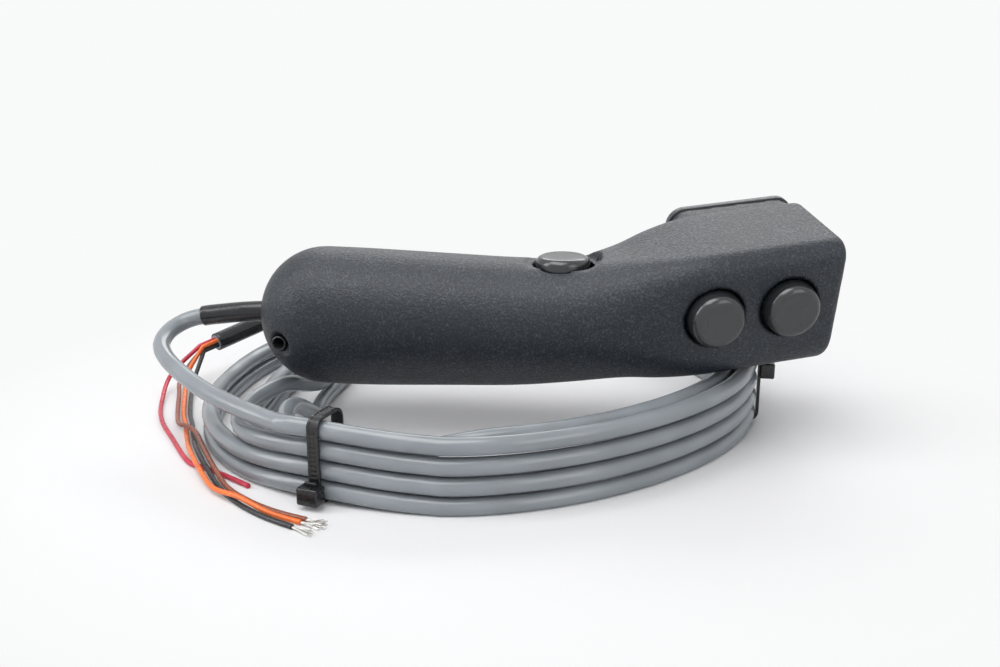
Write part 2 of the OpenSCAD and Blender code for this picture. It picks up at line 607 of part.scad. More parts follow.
// The lead runs from the sleeve's end round to the coil's first point.
lead_mid = [[-26.4, -1, -4.2], [-29.6, -6.4, -6.2], [-29, -13.6, -8.3], [-24.4, -20.6, -10.3], [-16.4, -28.4, -12.2],
    [-5.8, -37.4, -13.8], [6.6, -46, -14.8], [17.4, -52.6, -15.3]];
coil_first = coil_path[0];
lead_join = 6;
lead_path = concat(curve(concat(exit_route, lead_mid, [coil_first - coil_in_dir * lead_join]), 2), [coil_first]);
module cable_lead() {
    echo(lead_length = run_len(lead_path), rings = len(lead_path));
    color([0.45, 0.47, 0.5]) skin(tube_rings(lead_path, cord_d / 2, tube_n));
}
// The tail leaves the coil's last point behind the handle and ends in its sleeve.
coil_last = coil_path[len(coil_path) - 1];
tail_mid = [[-8, 71, -16.2], [-16.4, 62, -18.4], [-23, 53.6, -20.4]];
tail_end = [-33.6, 39, -23.6];
tail_path = concat([coil_last], curve(concat([coil_last + coil_out_dir * lead_join], tail_mid, [tail_end]), 2));
tail_n = 10;
tail_last = len(tail_path) - 1;
module cable_tail() {
    echo(tail_length = run_len(tail_path), rings = len(tail_path), coil_last = coil_last);
    color([0.45, 0.47, 0.5]) skin(tube_rings(tail_path, cord_d / 2, tail_n));
}
sleeve_rings = 4;
module tail_sleeve() {
    color([0.06, 0.06, 0.06]) sleeve_on(tail_path, tail_last - sleeve_rings, tail_last, sleeve_d, tail_n);
}
wire_at = unit(tail_path[tail_last] - tail_path[tail_last - 1]);
wire_u = unit(cross([0, 0, 1], wire_at));
wire_v = cross(wire_at, wire_u);
function wire_start(i, j) = tail_end + (i * wire_u + j * wire_v) * core_d * core_share;
core_share = 0.6;
wire_low = ground_z + core_d / 2;
// The conductors lie side by side on a common route, in lanes, and step over one another.
bundle = [[-35, 13], [-29, -2], [-24, -12], [-20.8, -17.8], [-17.5, -23.5], [-10.5, -35], [-2, -48], [5.6, -57.4],
    [14.4, -64.4], [24, -70], [33.6, -74.4]];
lane_w = 2;
wire_from_y = 25;
step_up = 1.9;
function lane(drop, side, up) = concat([[drop[0], drop[1], wire_low + drop[2]]],
    [for (i = [0 : len(bundle) - 1]) let (t = unit(bundle[min(i + 1, len(bundle) - 1)] - bundle[max(i - 1, 0)]),
        q = bundle[i] + side[i] * lane_w * [-t[1], t[0]]) [q[0], q[1], wire_low + up[i] * step_up]]);
orange_mid = lane([-39, wire_from_y, 4.4], [0, 0, 0, -0.25, -0.5, -1, -1, -1, -0.5, 0, 0.4],
    [0.6, 0, 0, 0, 0.15, 1, 1, 0.6, 1.1, 0.2, 0]);
brown_mid = lane([-41.4, wire_from_y, 3], [-1, -1, -1, 0, 0.9, 1, 1, 1, 1, 1, 1.4],
    [0.4, 0.1, 0.5, 1.15, 1.1, 1, 1, 0.2, 0, 0, 0]);
black_mid = lane([-36.6, wire_from_y, 2.6], [1, 1, 1, 0.75, 0.5, 0, 0, 0, -0.5, -1, -1.2],
    [0.3, 0, 0, 0, 0.15, 1, 1, 0.2, 0, 0, 0]);
red_mid = [for (q = [[-44.4, 24, 4.4], [-41, 8, 0.4], [-34, -8, 0], [-23, -24, 0], [-12, -39, 0], [-6.4, -42.8, 0],
    [-1, -45.4, 0], [5, -49, 0], [12.4, -53.8, 0]]) [q[0], q[1], wire_low + q[2]]];
function wire_path(i, j, p) = concat([wire_start(i, j)],
    curve(concat([wire_start(i, j) + wire_at * lead_join], p), 2));
red_path = wire_path(-1, 1, red_mid);
orange_path = wire_path(1, 1, orange_mid);
brown_path = wire_path(-1, -1, brown_mid);
black_path = wire_path(1, -1, black_mid);
module wire_tube(p) {
    echo(wire_length = run_len(p), rings = len(p));
    tube(p, core_d / 2, 6);
}
module wire_red() { color([0.75, 0.1, 0.2]) wire_tube(red_path); }
module wire_orange() { color([0.95, 0.45, 0.1]) wire_tube(orange_path); }
module wire_brown() { color([0.45, 0.25, 0.18]) wire_tube(brown_path); }
module wire_black() { color([0.08, 0.08, 0.09]) wire_tube(black_path); }
bare_len = 6;
bare_r = core_d / 4;
// Bare tinned strands, straight on from the ends of three conductors.
module wire_ends() {
    color([0.8, 0.8, 0.78]) for (p = [orange_path, brown_path, black_path]) {
        e = p[len(p) - 1];
        d = unit(e - p[len(p) - 2]);
        translate(e) rotate([0, acos(d[2]), atan2(d[1], d[0])]) cylinder(r = bare_r, h = bare_len, $fn = 16);
    }
}

// A tie: a closed strap round the bundle and its locking block, in a frame across the coil.
strap_t = 0.9;
tie_gap = 0.3;
tie_in_w = pitch + cord_d + 2 * tie_gap;
tie_in_h = 3 * pitch + cord_d + 2 * tie_gap;
tie_z = 0.1;
tie_r = 2.4;
block_w = 6.4;
block_h = 5;
block_t = 4.6;
front_block_z = 0.4;
rear_block_z = 14;
module tie_shape(e) {
    translate([-tie_in_w / 2 - e, -e]) round_box(tie_in_w + 2 * e, tie_in_h + 2 * e, tie_r + e);
}
function tie_point(az) = outline(az + 360) - (pitch / 2 + tie_in) * normal_at(az);
tie_in = 0.1;
module tie(az, block_z) {
    c = tie_point(az);
    d = tie_point(az + 2) - tie_point(az - 2);
    turn = atan2(-d[0], d[1]);
    translate([c[0], c[1], ground_z + strap_t + tie_z]) rotate([0, 0, turn]) {
        difference() {
            union() {
                rotate([90, 0, 0]) translate([0, 0, -strap_w / 2]) linear_extrude(strap_w) tie_shape(strap_t);
                translate([tie_in_w / 2 + strap_t / 2, -block_w / 2, block_z]) cube([block_t, block_w, block_h]);
            }
            rotate([90, 0, 0]) translate([0, 0, -block_w]) linear_extrude(2 * block_w) tie_shape(0);
            translate([tie_in_w / 2 + strap_t + 1, -strap_w / 2, block_z - 1])
                cube([strap_t + 0.2, strap_w, block_h + 2]);
        }
    }
}
module front_tie() { color([0.07, 0.07, 0.08]) tie(front_tie_az, front_block_z); }
module rear_tie() { color([0.07, 0.07, 0.08]) tie(rear_tie_az, rear_block_z); }

housing();
cover_plate();
cover_gasket();
cover_screws();
left_switch();
right_switch();
top_switch();
switch_nuts();
switch_seals();
switch_terminals();
left_spring();
right_spring();
top_spring();
left_cap();
right_cap();
top_cap();
left_plunger();
right_plunger();
top_plunger();
exit_sleeve();
clamp_block();
clamp_saddle();
clamp_screws();
hollow_pin();
inner_cable();
switch_leads();
cable_lead();
cable_coil();
cable_tail();
tail_sleeve();
wire_red();
wire_orange();
wire_brown();
wire_black();
wire_ends();
front_tie();
rear_tie();
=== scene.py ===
import math
import random

import bmesh
import bpy
from mathutils import Matrix, Vector


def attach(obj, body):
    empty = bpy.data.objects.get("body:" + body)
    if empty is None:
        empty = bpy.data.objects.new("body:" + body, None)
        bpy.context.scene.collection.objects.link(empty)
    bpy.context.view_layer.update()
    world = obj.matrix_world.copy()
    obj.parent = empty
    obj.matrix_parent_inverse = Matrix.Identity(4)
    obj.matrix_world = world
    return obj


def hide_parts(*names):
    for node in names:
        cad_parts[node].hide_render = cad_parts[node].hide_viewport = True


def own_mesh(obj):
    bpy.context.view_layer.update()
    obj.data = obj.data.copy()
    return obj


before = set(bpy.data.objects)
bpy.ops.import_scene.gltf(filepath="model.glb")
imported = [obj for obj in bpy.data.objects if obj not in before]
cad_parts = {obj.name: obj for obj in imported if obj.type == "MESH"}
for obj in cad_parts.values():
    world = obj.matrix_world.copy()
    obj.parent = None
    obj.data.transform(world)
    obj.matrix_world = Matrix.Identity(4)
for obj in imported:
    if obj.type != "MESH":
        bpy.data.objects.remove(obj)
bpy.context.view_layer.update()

bl_info = {
    "name": "Handheld Control Unit",
    "version": (1, 0, 0),
    "blender": (4, 5, 0),
    "location": "View3D > Sidebar > Control Unit",
    "description": "Dresses the control unit's frame: grained shell, push buttons, tied cable and conductors",
    "category": "Object",
}

MM = 0.001
ROOT = "unit"
SIDES = ("left", "right", "top")

# Sizes of the frame, in millimetres.
GRIP_LEN, HANDLE_W, HANDLE_H, WALL = 172.8, 41.0, 42.0, 3.0
HEAD_W, HEAD_H, FLANGE_LEN, FLANGE_T, FLANGE_R = 40.0, 40.0, 41.2, 4.2, 5.5
HEAD_AT = Vector((169.564, 21.898, 11.600))
ROLL, PITCH, YAW = 11.3, 4.6, 20.8
FLANGE_Y = 18.0
DOME = 20.0
TIP = 2.6
CORD = 5.2
SLEEVE = 6.4
CORE = 1.5
GROUND = -36.2
PITCH_STEP = CORD + 0.5

# The buttons: where they sit along the head and the grip, how far they stand proud, and the caps' radius and edge
# rounding.
FRONT_BACK, FRONT_UP, FRONT_PROUD = (40.3, 17.2), 2.1, 4.5
TOP_SHARE, TOP_PROUD = 0.544, 1.3
CAP_R, CAP_ROUND = 8.2, 2.3

# Bores behind a button, as radii and heights from its face, which is at 0.
POCKET_R, POCKET_LOW = 9.05, -8.1
BUSH_R, BUSH_TOP, BUSH_LOW = 5.05, -7.5, -11.1
BOSS_R, BOSS_LOW, BOSS_TOPS = 11.25, -10.8, (-5.1, -5.1, -5.8)
SPOT_R, SPOT_LOW = 11.6, -2.5
SPRING_R, SPRING_WIRE, SPRING_TOP, SPRING_LOW = 2.7, 0.5, -14.45, -21.2

# The hollow pin across the handle and the round recess at each of its ends.
PIN_R, PIN_BORE, PIN_HALF = 2.3, 1.65, 16.5
RECESS_R, RECESS_FROM = 3.9, 16

HEAD = (Matrix.Translation(HEAD_AT) @ Matrix.Rotation(math.radians(YAW), 4, "Z")
        @ Matrix.Rotation(math.radians(-PITCH), 4, "Y") @ Matrix.Rotation(math.radians(ROLL), 4, "X"))
LEVEL = Matrix.Rotation(math.pi / 2, 4, "X")
PIN = Matrix.Translation((9.8, 0, -5.4)) @ LEVEL


# ---- The grip's sections ----

# Shares of the grip's length, and at each one: place along, aside and up, turn, roll, half width, half height,
# and the radius of the upper and lower corners.
STATIONS = [0, 0.174, 0.347, 0.475, 0.567, 0.645, 0.713, 0.782, 0.885, 1]
MIX = [0, 0, 0, 0, 0, 0.4, 0.8, 1, 1, 1]
BASE_W = [HANDLE_W / 2 + (HEAD_W / 2 - HANDLE_W / 2) * m for m in MIX]
BASE_H = [HANDLE_H / 2 + (HEAD_H / 2 - HANDLE_H / 2) * m for m in MIX]
COLUMNS = [
    [v * GRIP_LEN for v in (0, 0.174, 0.347, 0.475, 0.567, 0.641, 0.703, 0.766, 0.872, 0.98)],
    [v * HANDLE_W for v in (0, 0, 0, 0, 0.007, 0.045, 0.085, 0.16, 0.335, 0.51)],
    [v * HANDLE_H for v in (0, -0.009, -0.005, 0.003, 0.032, 0.088, 0.145, 0.19, 0.233, 0.27)],
    [v * YAW for v in (0, 0, 0, 0.1, 0.38, 0.72, 0.91, 1, 1, 1)],
    [v * ROLL for v in (0, 0, 0, 0, 0.18, 0.53, 0.88, 1, 1, 1)],
    [v * b for v, b in zip((1, 1, 0.976, 0.956, 0.937, 0.9412, 0.9546, 0.9543, 0.9481, 0.9481), BASE_W)],
    [v * b for v, b in zip((1, 1.01, 0.962, 0.919, 0.881, 0.8981, 0.9533, 0.9923, 0.9996, 0.9996), BASE_H)],
    [v * b for v, b in zip((0.95, 0.95, 0.93, 0.9, 0.8, 0.632, 0.437, 0.315, 0.294, 0.294), BASE_H)],
    [v * b for v, b in zip((0.95, 0.95, 0.93, 0.9, 0.86, 0.734, 0.541, 0.431, 0.42, 0.441), BASE_H)],
]


def cubic(column, s):
    """A table's column at the share s of the grip's length."""
    last = len(STATIONS) - 1
    i = 0
    while i + 2 <= last and s > STATIONS[i + 1]:
        i += 1

    def slope(k):
        a, b = max(k - 1, 0), min(k + 1, last)
        return (column[b] - column[a]) / (STATIONS[b] - STATIONS[a])

    h = STATIONS[i + 1] - STATIONS[i]
    t = (s - STATIONS[i]) / h
    q = 1 - t
    return (q * q * (1 + 2 * t) * column[i] + t * t * (3 - 2 * t) * column[i + 1]
            + t * q * q * h * slope(i) - t * t * q * h * slope(i + 1))


def grip_ring(s, inset=0.0, scale=1.0, arc=13):
    """One ring of the grip's skin at the share s, inset and scaled about its centre."""
    x, y, z, yaw, roll, w, h, top, low = [cubic(c, s) for c in COLUMNS]
    yaw, roll = math.radians(yaw), math.radians(roll)
    w, h = (w - inset) * scale, (h - inset) * scale
    across = Vector((-math.sin(yaw) * math.cos(roll), math.cos(yaw) * math.cos(roll), math.sin(roll)))
    up = Vector((math.sin(yaw) * math.sin(roll), -math.cos(yaw) * math.sin(roll), math.cos(roll)))
    ring = []
    for sx, sy, start in ((1, 1, 0), (-1, 1, 90), (-1, -1, 180), (1, -1, 270)):
        r = max((top if sy > 0 else low) - inset, 1.6) * scale
        for i in range(arc):
            a = math.radians(start + 90 * i / (arc - 1))
            u, v = sx * (w - r) + r * math.cos(a), sy * (h - r) + r * math.sin(a)
            ring.append(Vector((x, y, z)) + u * across + v * up)
    return ring


def button_place(k):
    """The frame of button k: origin at the centre of its face, Z out of the housing, in millimetres."""
    if k < 2:
        return HEAD @ Matrix.Translation((-FRONT_BACK[k], -HEAD_W / 2 - FRONT_PROUD, FRONT_UP)) @ LEVEL
    side, up, half = [cubic(COLUMNS[c], TOP_SHARE) for c in (1, 2, 6)]
    return Matrix.Translation((GRIP_LEN * TOP_SHARE, side, up + half + TOP_PROUD))


# ---- The cable's route ----

def bend(points, steps):
    """A smooth curve through given points, with so many steps between each two."""
    out, last = [], len(points) - 1
    for i in range(last):
        a, b, c, d = points[max(i - 1, 0)], points[i], points[i + 1], points[min(i + 2, last)]
        for j in range(steps):
            t = j / steps
            out.append(0.5 * (2 * b + (c - a) * t + (2 * a - 5 * b + 4 * c - d) * t * t
                              + (3 * b - a - 3 * c + d) * t * t * t))
    return out + [points[last]]


def points_of(rows):
    return [Vector(r) for r in rows]


# The coil from above: its centre, its radii, and its fullness, which is less where it runs back under the head.
RING_AT, RING_RX, RING_RY = (66, 22), 86, 84
ROUND_SHARE, LEAN_SHARE, LEAN_FROM = 0.87, 1.2, 270
# Azimuths in degrees: the ties, the first drop from slot to slot and its width, and the lifts that clear the ties.
FRONT_TIE_AZ, REAR_TIE_AZ = 252, 0
DROP_AZ, SHIFT_AZ = 468, 36
LIFT, LIFT_AZ = 1.5, 24
END_RISE, END_RISE_AZ = 0.9, 2604
# A slot is a column inward and a layer up. On the left some turns leave their home slot and spread,
# sideways and downward, between the four azimuths given: out, settled, back, home.
HOME = [(1, 3), (1, 2), (1, 1), (1, 0), (0, 0), (0, 1), (0, 2), (0, 3)]
SPREAD = [(1, 3), (5.8, 0), (3, 1), (3, 0), (0, 0), (0, 1), (5.8, 1), (0, 3)]
SLIDE = [None, (118, 170, 196, 251), (130, 176, 186, 236), (130, 176, 186, 236), None, None,
         (132, 178, 178, 236), None]
DROP = [None, (150, 172, 196, 224), (130, 176, 186, 236), (130, 176, 186, 236), None, None,
        (164, 182, 182, 202), None]


def ease(t):
    c = max(0.0, min(1.0, t))
    return c * c * (3 - 2 * c)


def held(a, w):
    """How far a turn is out of its home slot at the azimuth a."""
    return 0.0 if w is None else ease((a - w[0]) / (w[1] - w[0])) * ease((w[3] - a) / (w[3] - w[2]))


def slot_at(k, a):
    h, w = HOME[k], SPREAD[k]
    x, z = held(a, SLIDE[k]), held(a, DROP[k])
    return h[0] + (w[0] - h[0]) * x, h[1] + (w[1] - h[1]) * z


def outline(a):
    """The coil's outer turn from above: a little fuller than an ellipse."""
    share = LEAN_SHARE if a % 360 > LEAN_FROM else ROUND_SHARE
    c, s = math.cos(math.radians(a)), math.sin(math.radians(a))
    return Vector((RING_AT[0] + RING_RX * math.copysign(abs(c) ** share, c),
                   RING_AT[1] + RING_RY * math.copysign(abs(s) ** share, s), 0))


def outward_at(a):
    d = outline(a + 362) - outline(a + 358)
    return Vector((d.y, -d.x, 0)).normalized()


def near_tie(a, c):
    d = abs(a - c)
    return ease(1 - min(d, 360 - d) / LIFT_AZ)


def coil_point(t):
    """The coil's centre line at the running azimuth t, in degrees from the first turn."""
    d = sum(ease((t - (DROP_AZ + (360 - SHIFT_AZ) * n)) / SHIFT_AZ) for n in range(7))
    k, f, a = 7 - int(math.floor(d)), d - math.floor(d), t % 360
    p, q = slot_at(k, a), slot_at(max(k - 1, 0), a)
    s0, s1 = p[0] + (q[0] - p[0]) * f, p[1] + (q[1] - p[1]) * f
    lift = (LIFT * (near_tie(a, FRONT_TIE_AZ) + near_tie(a, REAR_TIE_AZ))
            + END_RISE * ease((t - END_RISE_AZ) / (LIFT_AZ / 2)))
    flat = outline(a) - s0 * PITCH_STEP * outward_at(a)
    return Vector((flat.x, flat.y, GROUND + CORD / 2 - CORD / 10 + s1 * PITCH_STEP + lift))


# The frame's coil has a ring every 15 degrees, and the dressed one is five times as fine.
RING_STEP, COIL_STEP = 15, 3
COIL_START, COIL_END = FRONT_TIE_AZ, FRONT_TIE_AZ + RING_STEP * 160
COIL_FIRST, COIL_LAST = coil_point(COIL_START), coil_point(COIL_END)
IN_DIR = (coil_point(COIL_START + RING_STEP) - COIL_FIRST).normalized()
OUT_DIR = (COIL_LAST - coil_point(COIL_END - RING_STEP)).normalized()
ROUTE_STEPS = 6
EXIT_ROUTE = points_of([(6, 0, 0), (3, 0, 0), (0, 0, 0), (-7, 0.1, -0.6), (-14, 0.6, -1.6), (-21, 1, -2.8)])
LEAD_MID = points_of([(-26.4, -1, -4.2), (-29.6, -6.4, -6.2), (-29, -13.6, -8.3), (-24.4, -20.6, -10.3),
                      (-16.4, -28.4, -12.2), (-5.8, -37.4, -13.8), (6.6, -46, -14.8), (17.4, -52.6, -15.3)])
TAIL_MID = points_of([(-8, 71, -16.2), (-16.4, 62, -18.4), (-23, 53.6, -20.4)])
TAIL_END = Vector((-33.6, 39, -23.6))


def lead_route(steps=ROUTE_STEPS):
    first = COIL_FIRST - IN_DIR * CORD
    return bend(EXIT_ROUTE + LEAD_MID + [first - IN_DIR * 6], steps) + [first]


def tail_route(steps=ROUTE_STEPS):
    last = COIL_LAST + OUT_DIR * CORD
    return [last] + bend([last + OUT_DIR * 6] + TAIL_MID + [TAIL_END], steps)


def cable_route():
    """The whole cable, from inside the housing through the coil to the end of its jacket."""
    turns = [coil_point(a) for a in range(COIL_START, COIL_END + 1, COIL_STEP)]
    return lead_route() + turns + tail_route()


# The conductors lie side by side on a common route, in lanes, and step over one another.
BUNDLE = [(-35, 13), (-29, -2), (-24, -12), (-20.8, -17.8), (-17.5, -23.5), (-10.5, -35), (-2, -48), (5.6, -57.4),
          (14.4, -64.4), (24, -70), (33.6, -74.4)]
CORE_LOW = GROUND + CORE / 2
LANE_W, LANE_H = 2, 1.9


def lane(drop, side, up):
    """A route along the bundle, from a first point, moved aside and up by lanes."""
    out = [Vector((drop[0], drop[1], CORE_LOW + drop[2]))]
    for i, (x, y) in enumerate(BUNDLE):
        a, b = BUNDLE[max(i - 1, 0)], BUNDLE[min(i + 1, len(BUNDLE) - 1)]
        t = Vector((b[0] - a[0], b[1] - a[1])).normalized()
        out.append(Vector((x - side[i] * LANE_W * t[1], y + side[i] * LANE_W * t[0], CORE_LOW + up[i] * LANE_H)))
    return out


def core_route(i, j, mid):
    """A conductor's route out of its quarter of the jacket's end."""
    ring = tail_route(2)
    along = (ring[-1] - ring[-2]).normalized()
    u = Vector((0, 0, 1)).cross(along).normalized()
    start = TAIL_END + (i * u + j * along.cross(u)) * CORE * 0.6
    return [start] + bend([start + along * 6] + mid, ROUTE_STEPS)


CORES = {
    "red": core_route(-1, 1, [Vector((x, y, CORE_LOW + z)) for x, y, z in (
        (-44.4, 24, 4.4), (-41, 8, 0.4), (-34, -8, 0), (-23, -24, 0), (-12, -39, 0), (-6.4, -42.8, 0),
        (-1, -45.4, 0), (5, -49, 0), (12.4, -53.8, 0))]),
    "orange": core_route(1, 1, lane((-39, 25, 4.4), (0, 0, 0, -0.25, -0.5, -1, -1, -1, -0.5, 0, 0.4),
                                    (0.6, 0, 0, 0, 0.15, 1, 1, 0.6, 1.1, 0.2, 0))),
    "brown": core_route(-1, -1, lane((-41.4, 25, 3), (-1, -1, -1, 0, 0.9, 1, 1, 1, 1, 1, 1.4),
                                     (0.4, 0.1, 0.5, 1.15, 1.1, 1, 1, 0.2, 0, 0, 0))),
    "black": core_route(1, -1, lane((-36.6, 25, 2.6), (1, 1, 1, 0.75, 0.5, 0, 0, 0, -0.5, -1, -1.2),
                                    (0.3, 0, 0, 0, 0.15, 1, 1, 0.2, 0, 0, 0))),
}


# ---- Modelling by hand ----

def pick(*objects):
    """Selects only these objects, the first one active."""
    if bpy.context.mode != "OBJECT":
        bpy.ops.object.mode_set(mode="OBJECT")
    bpy.ops.object.select_all(action="DESELECT")
    for o in objects:
        o.hide_set(False)
        o.select_set(True)
    bpy.context.view_layer.objects.active = objects[0] if objects else None


def settle(o):
    """Puts the object's place into its mesh."""
    pick(o)
    bpy.ops.object.transform_apply(location=True, rotation=True, scale=True)
    return o


def with_modifier(o, kind, **settings):
    """Adds one modifier and applies it."""
    pick(o)
    m = o.modifiers.new(kind.title(), kind)
    for key, value in settings.items():
        setattr(m, key, value)
    bpy.ops.object.modifier_apply(modifier=m.name)
    return o


def moved(o, matrix):
    """Turns and moves a mesh made in millimetres to its place in metres."""
    o.data.transform(Matrix.Scale(MM, 4) @ matrix)
    o.data.update()
    return o


def outward(o, merge=1e-6):
    """Merges near points and turns the faces outward."""
    pick(o)
    bpy.ops.object.mode_set(mode="EDIT")
    bpy.ops.mesh.select_all(action="SELECT")
    bpy.ops.mesh.remove_doubles(threshold=merge)
    bpy.ops.mesh.normals_make_consistent(inside=False)
    bpy.ops.object.mode_set(mode="OBJECT")
    return o


def empty_mesh(name):
    o = bpy.data.objects.new(name, bpy.data.meshes.new(name))
    bpy.context.scene.collection.objects.link(o)
    return o


def loft(name, rings):
    """Rings of points bridged into a skin, its two ends filled."""
    o = empty_mesh(name)
    bm = bmesh.new()
    for ring in rings:
        verts = [bm.verts.new(p) for p in ring]
        for a, b in zip(verts, verts[1:] + verts[:1]):
            bm.edges.new((a, b))
    bm.to_mesh(o.data)
    bm.free()
    pick(o)
    bpy.ops.object.mode_set(mode="EDIT")
    bpy.ops.mesh.select_all(action="SELECT")
    bpy.ops.mesh.bridge_edge_loops()
    bpy.ops.mesh.select_all(action="SELECT")
    bpy.ops.mesh.fill_holes(sides=0)
    bpy.ops.mesh.normals_make_consistent(inside=False)
    bpy.ops.object.mode_set(mode="OBJECT")
    return o


def lathe(name, profile, steps=96):
    """A profile of radius and height spun about Z."""
    o = empty_mesh(name)
    o.data.from_pydata([(r, 0, z) for r, z in profile], [(i, i + 1) for i in range(len(profile) - 1)], [])
    pick(o)
    bpy.ops.object.mode_set(mode="EDIT")
    bpy.ops.mesh.select_all(action="SELECT")
    bpy.ops.mesh.spin(steps=steps, angle=2 * math.pi, center=(0, 0, 0), axis=(0, 0, 1))
    bpy.ops.object.mode_set(mode="OBJECT")
    return outward(o, 1e-4)


def drum(name, r, z0, z1, verts=64):
    """A cylinder from z0 to z1 about Z, in millimetres."""
    pick()
    bpy.ops.mesh.primitive_cylinder_add(vertices=verts, radius=r, depth=z1 - z0, location=(0, 0, (z0 + z1) / 2))
    o = bpy.context.active_object
    o.name = name
    return settle(o)


def block(name, low, high, bevel=0.0, segments=3):
    """A box between two corners, its edges rounded."""
    pick()
    bpy.ops.mesh.primitive_cube_add(size=1, location=[(a + b) / 2 for a, b in zip(low, high)])
    o = bpy.context.active_object
    o.name = name
    o.scale = [b - a for a, b in zip(low, high)]
    settle(o)
    if bevel:
        with_modifier(o, "BEVEL", width=bevel, segments=segments, limit_method="NONE")
    return o


def slab(name, low, high, radius):
    """A box between two corners, with its four edges along Y rounded."""
    o = block(name, low, high)
    bm = bmesh.new()
    bm.from_mesh(o.data)
    upright = [e for e in bm.edges if abs((e.verts[0].co - e.verts[1].co).normalized().y) > 0.9]
    bmesh.ops.bevel(bm, geom=upright, offset=radius, segments=12, affect="EDGES", profile=0.5)
    bm.to_mesh(o.data)
    bm.free()
    return o


def carve(o, *tools, how="DIFFERENCE"):
    """Cuts, or joins, other solids and removes them."""
    for tool in tools:
        with_modifier(o, "BOOLEAN", operation=how, solver="EXACT", object=tool)
        bpy.data.objects.remove(tool)
    return o


def put(o, matrix):
    o.data.transform(matrix)
    return o


def smooth(o, angle=35.0):
    pick(o)
    bpy.ops.object.shade_smooth_by_angle(angle=math.radians(angle))
    return o


def finished(o, name, material, slot, body=ROOT, nodes=()):
    """Names a piece, gives it its material and lets it ride on its body."""
    o.name = name
    o.data.name = name
    o.data.materials.clear()
    o.data.materials.append(material)
    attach(o, body)
    if nodes:
        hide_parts(*nodes)
    return o


def rod(name, points, radius, caps=True, resolution=6):
    """A round curve along points in millimetres."""
    data = bpy.data.curves.new(name, "CURVE")
    data.dimensions = "3D"
    line = data.splines.new("POLY")
    line.points.add(len(points) - 1)
    for p, v in zip(line.points, points):
        p.co = (*(v * MM), 1)
    line.use_smooth = True
    data.bevel_depth = radius * MM
    data.bevel_resolution = resolution
    data.use_fill_caps = caps
    o = bpy.data.objects.new(name, data)
    bpy.context.scene.collection.objects.link(o)
    return o


def as_mesh(o):
    pick(o)
    bpy.ops.object.convert(target="MESH")
    return bpy.context.active_object


def dressed(node, name, material, slot, body=ROOT, edge=0.25, angle=35.0):
    """A finished copy of a frame part: merged, its edges rounded and its faces smoothed."""
    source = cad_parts[node]
    o = bpy.data.objects.new(name, source.data.copy())
    bpy.context.scene.collection.objects.link(o)
    outward(o)
    pick(o)
    bpy.ops.object.mode_set(mode="EDIT")
    bpy.ops.mesh.select_all(action="SELECT")
    bpy.ops.mesh.dissolve_limited(angle_limit=math.radians(1.0))
    bpy.ops.object.mode_set(mode="OBJECT")
    with_modifier(o, "BEVEL", width=edge * MM, segments=2, limit_method="ANGLE", angle_limit=math.radians(40))
    smooth(o, angle)
    return finished(o, name, material, slot, body, (node,))


# ---- Shader maths ----

class Sock:
    """A socket that takes part in maths: each operation adds its Math node."""

    def __init__(self, net, out):
        self.net, self.out = net, out

    def math(self, how, a, b):
        return self.net.node("ShaderNodeMath", {"operation": how}, [a, b])

    def __add__(self, other):
        return self.math("ADD", self, other)

    def __mul__(self, other):
        return self.math("MULTIPLY", self, other)


class Net:
    """One material's nodes."""

    def __init__(self, name):
        self.material = bpy.data.materials.new(name)
        self.material.use_nodes = True
        self.tree = self.material.node_tree
        self.tree.nodes.clear()

    def node(self, kind, settings=None, values=(), out=0):
        """A node of a type with its settings, then its sockets' values or links."""
        n = self.tree.nodes.new(kind)
        for key, value in (settings or {}).items():
            setattr(n, key, value)
        for key, value in (values.items() if isinstance(values, dict) else enumerate(values)):
            if isinstance(value, Sock):
                self.tree.links.new(value.out, n.inputs[key])
            elif value is not None:
                n.inputs[key].default_value = value
        return Sock(self, n.outputs[out]) if len(n.outputs) else None

    def place(self):
        return self.node("ShaderNodeTexCoord", out=3)

    def noise(self, scale, detail=2.0, rough=0.5, place=None):
        return self.node("ShaderNodeTexNoise", {}, {"Vector": place or self.place(), "Scale": scale, "Detail": detail,
                                                    "Roughness": rough})

    def span(self, value, low, high, a=0.0, b=1.0):
        """The value between low and high, spread from a to b and kept there."""
        return self.node("ShaderNodeMapRange", {"clamp": True}, {"Value": value, "From Min": low, "From Max": high,
                                                                 "To Min": a, "To Max": b})

    def mixed(self, share, a, b):
        """One colour turning into another."""
        n = self.tree.nodes.new("ShaderNodeMix")
        n.data_type = "RGBA"
        for socket, value in ((n.inputs[0], share), (n.inputs[6], a), (n.inputs[7], b)):
            if isinstance(value, Sock):
                self.tree.links.new(value.out, socket)
            else:
                socket.default_value = value
        return Sock(self, n.outputs[2])

    def bump(self, height, strength, distance):
        return self.node("ShaderNodeBump", {}, {"Strength": strength, "Distance": distance, "Height": height})

    def surface(self, **sockets):
        """One Principled surface. Its sockets go by short names."""
        names = {"colour": "Base Color", "rough": "Roughness", "metal": "Metallic", "normal": "Normal",
                 "gloss": "Specular IOR Level"}
        shader = self.node("ShaderNodeBsdfPrincipled", {}, {names[k]: v for k, v in sockets.items()})
        self.node("ShaderNodeOutputMaterial", {}, [shader])
        return self.material


def rgba(colour, gain=1.0):
    """A colour made lighter or darker, with full alpha."""
    return (*[c * gain for c in colour[:3]], 1.0)


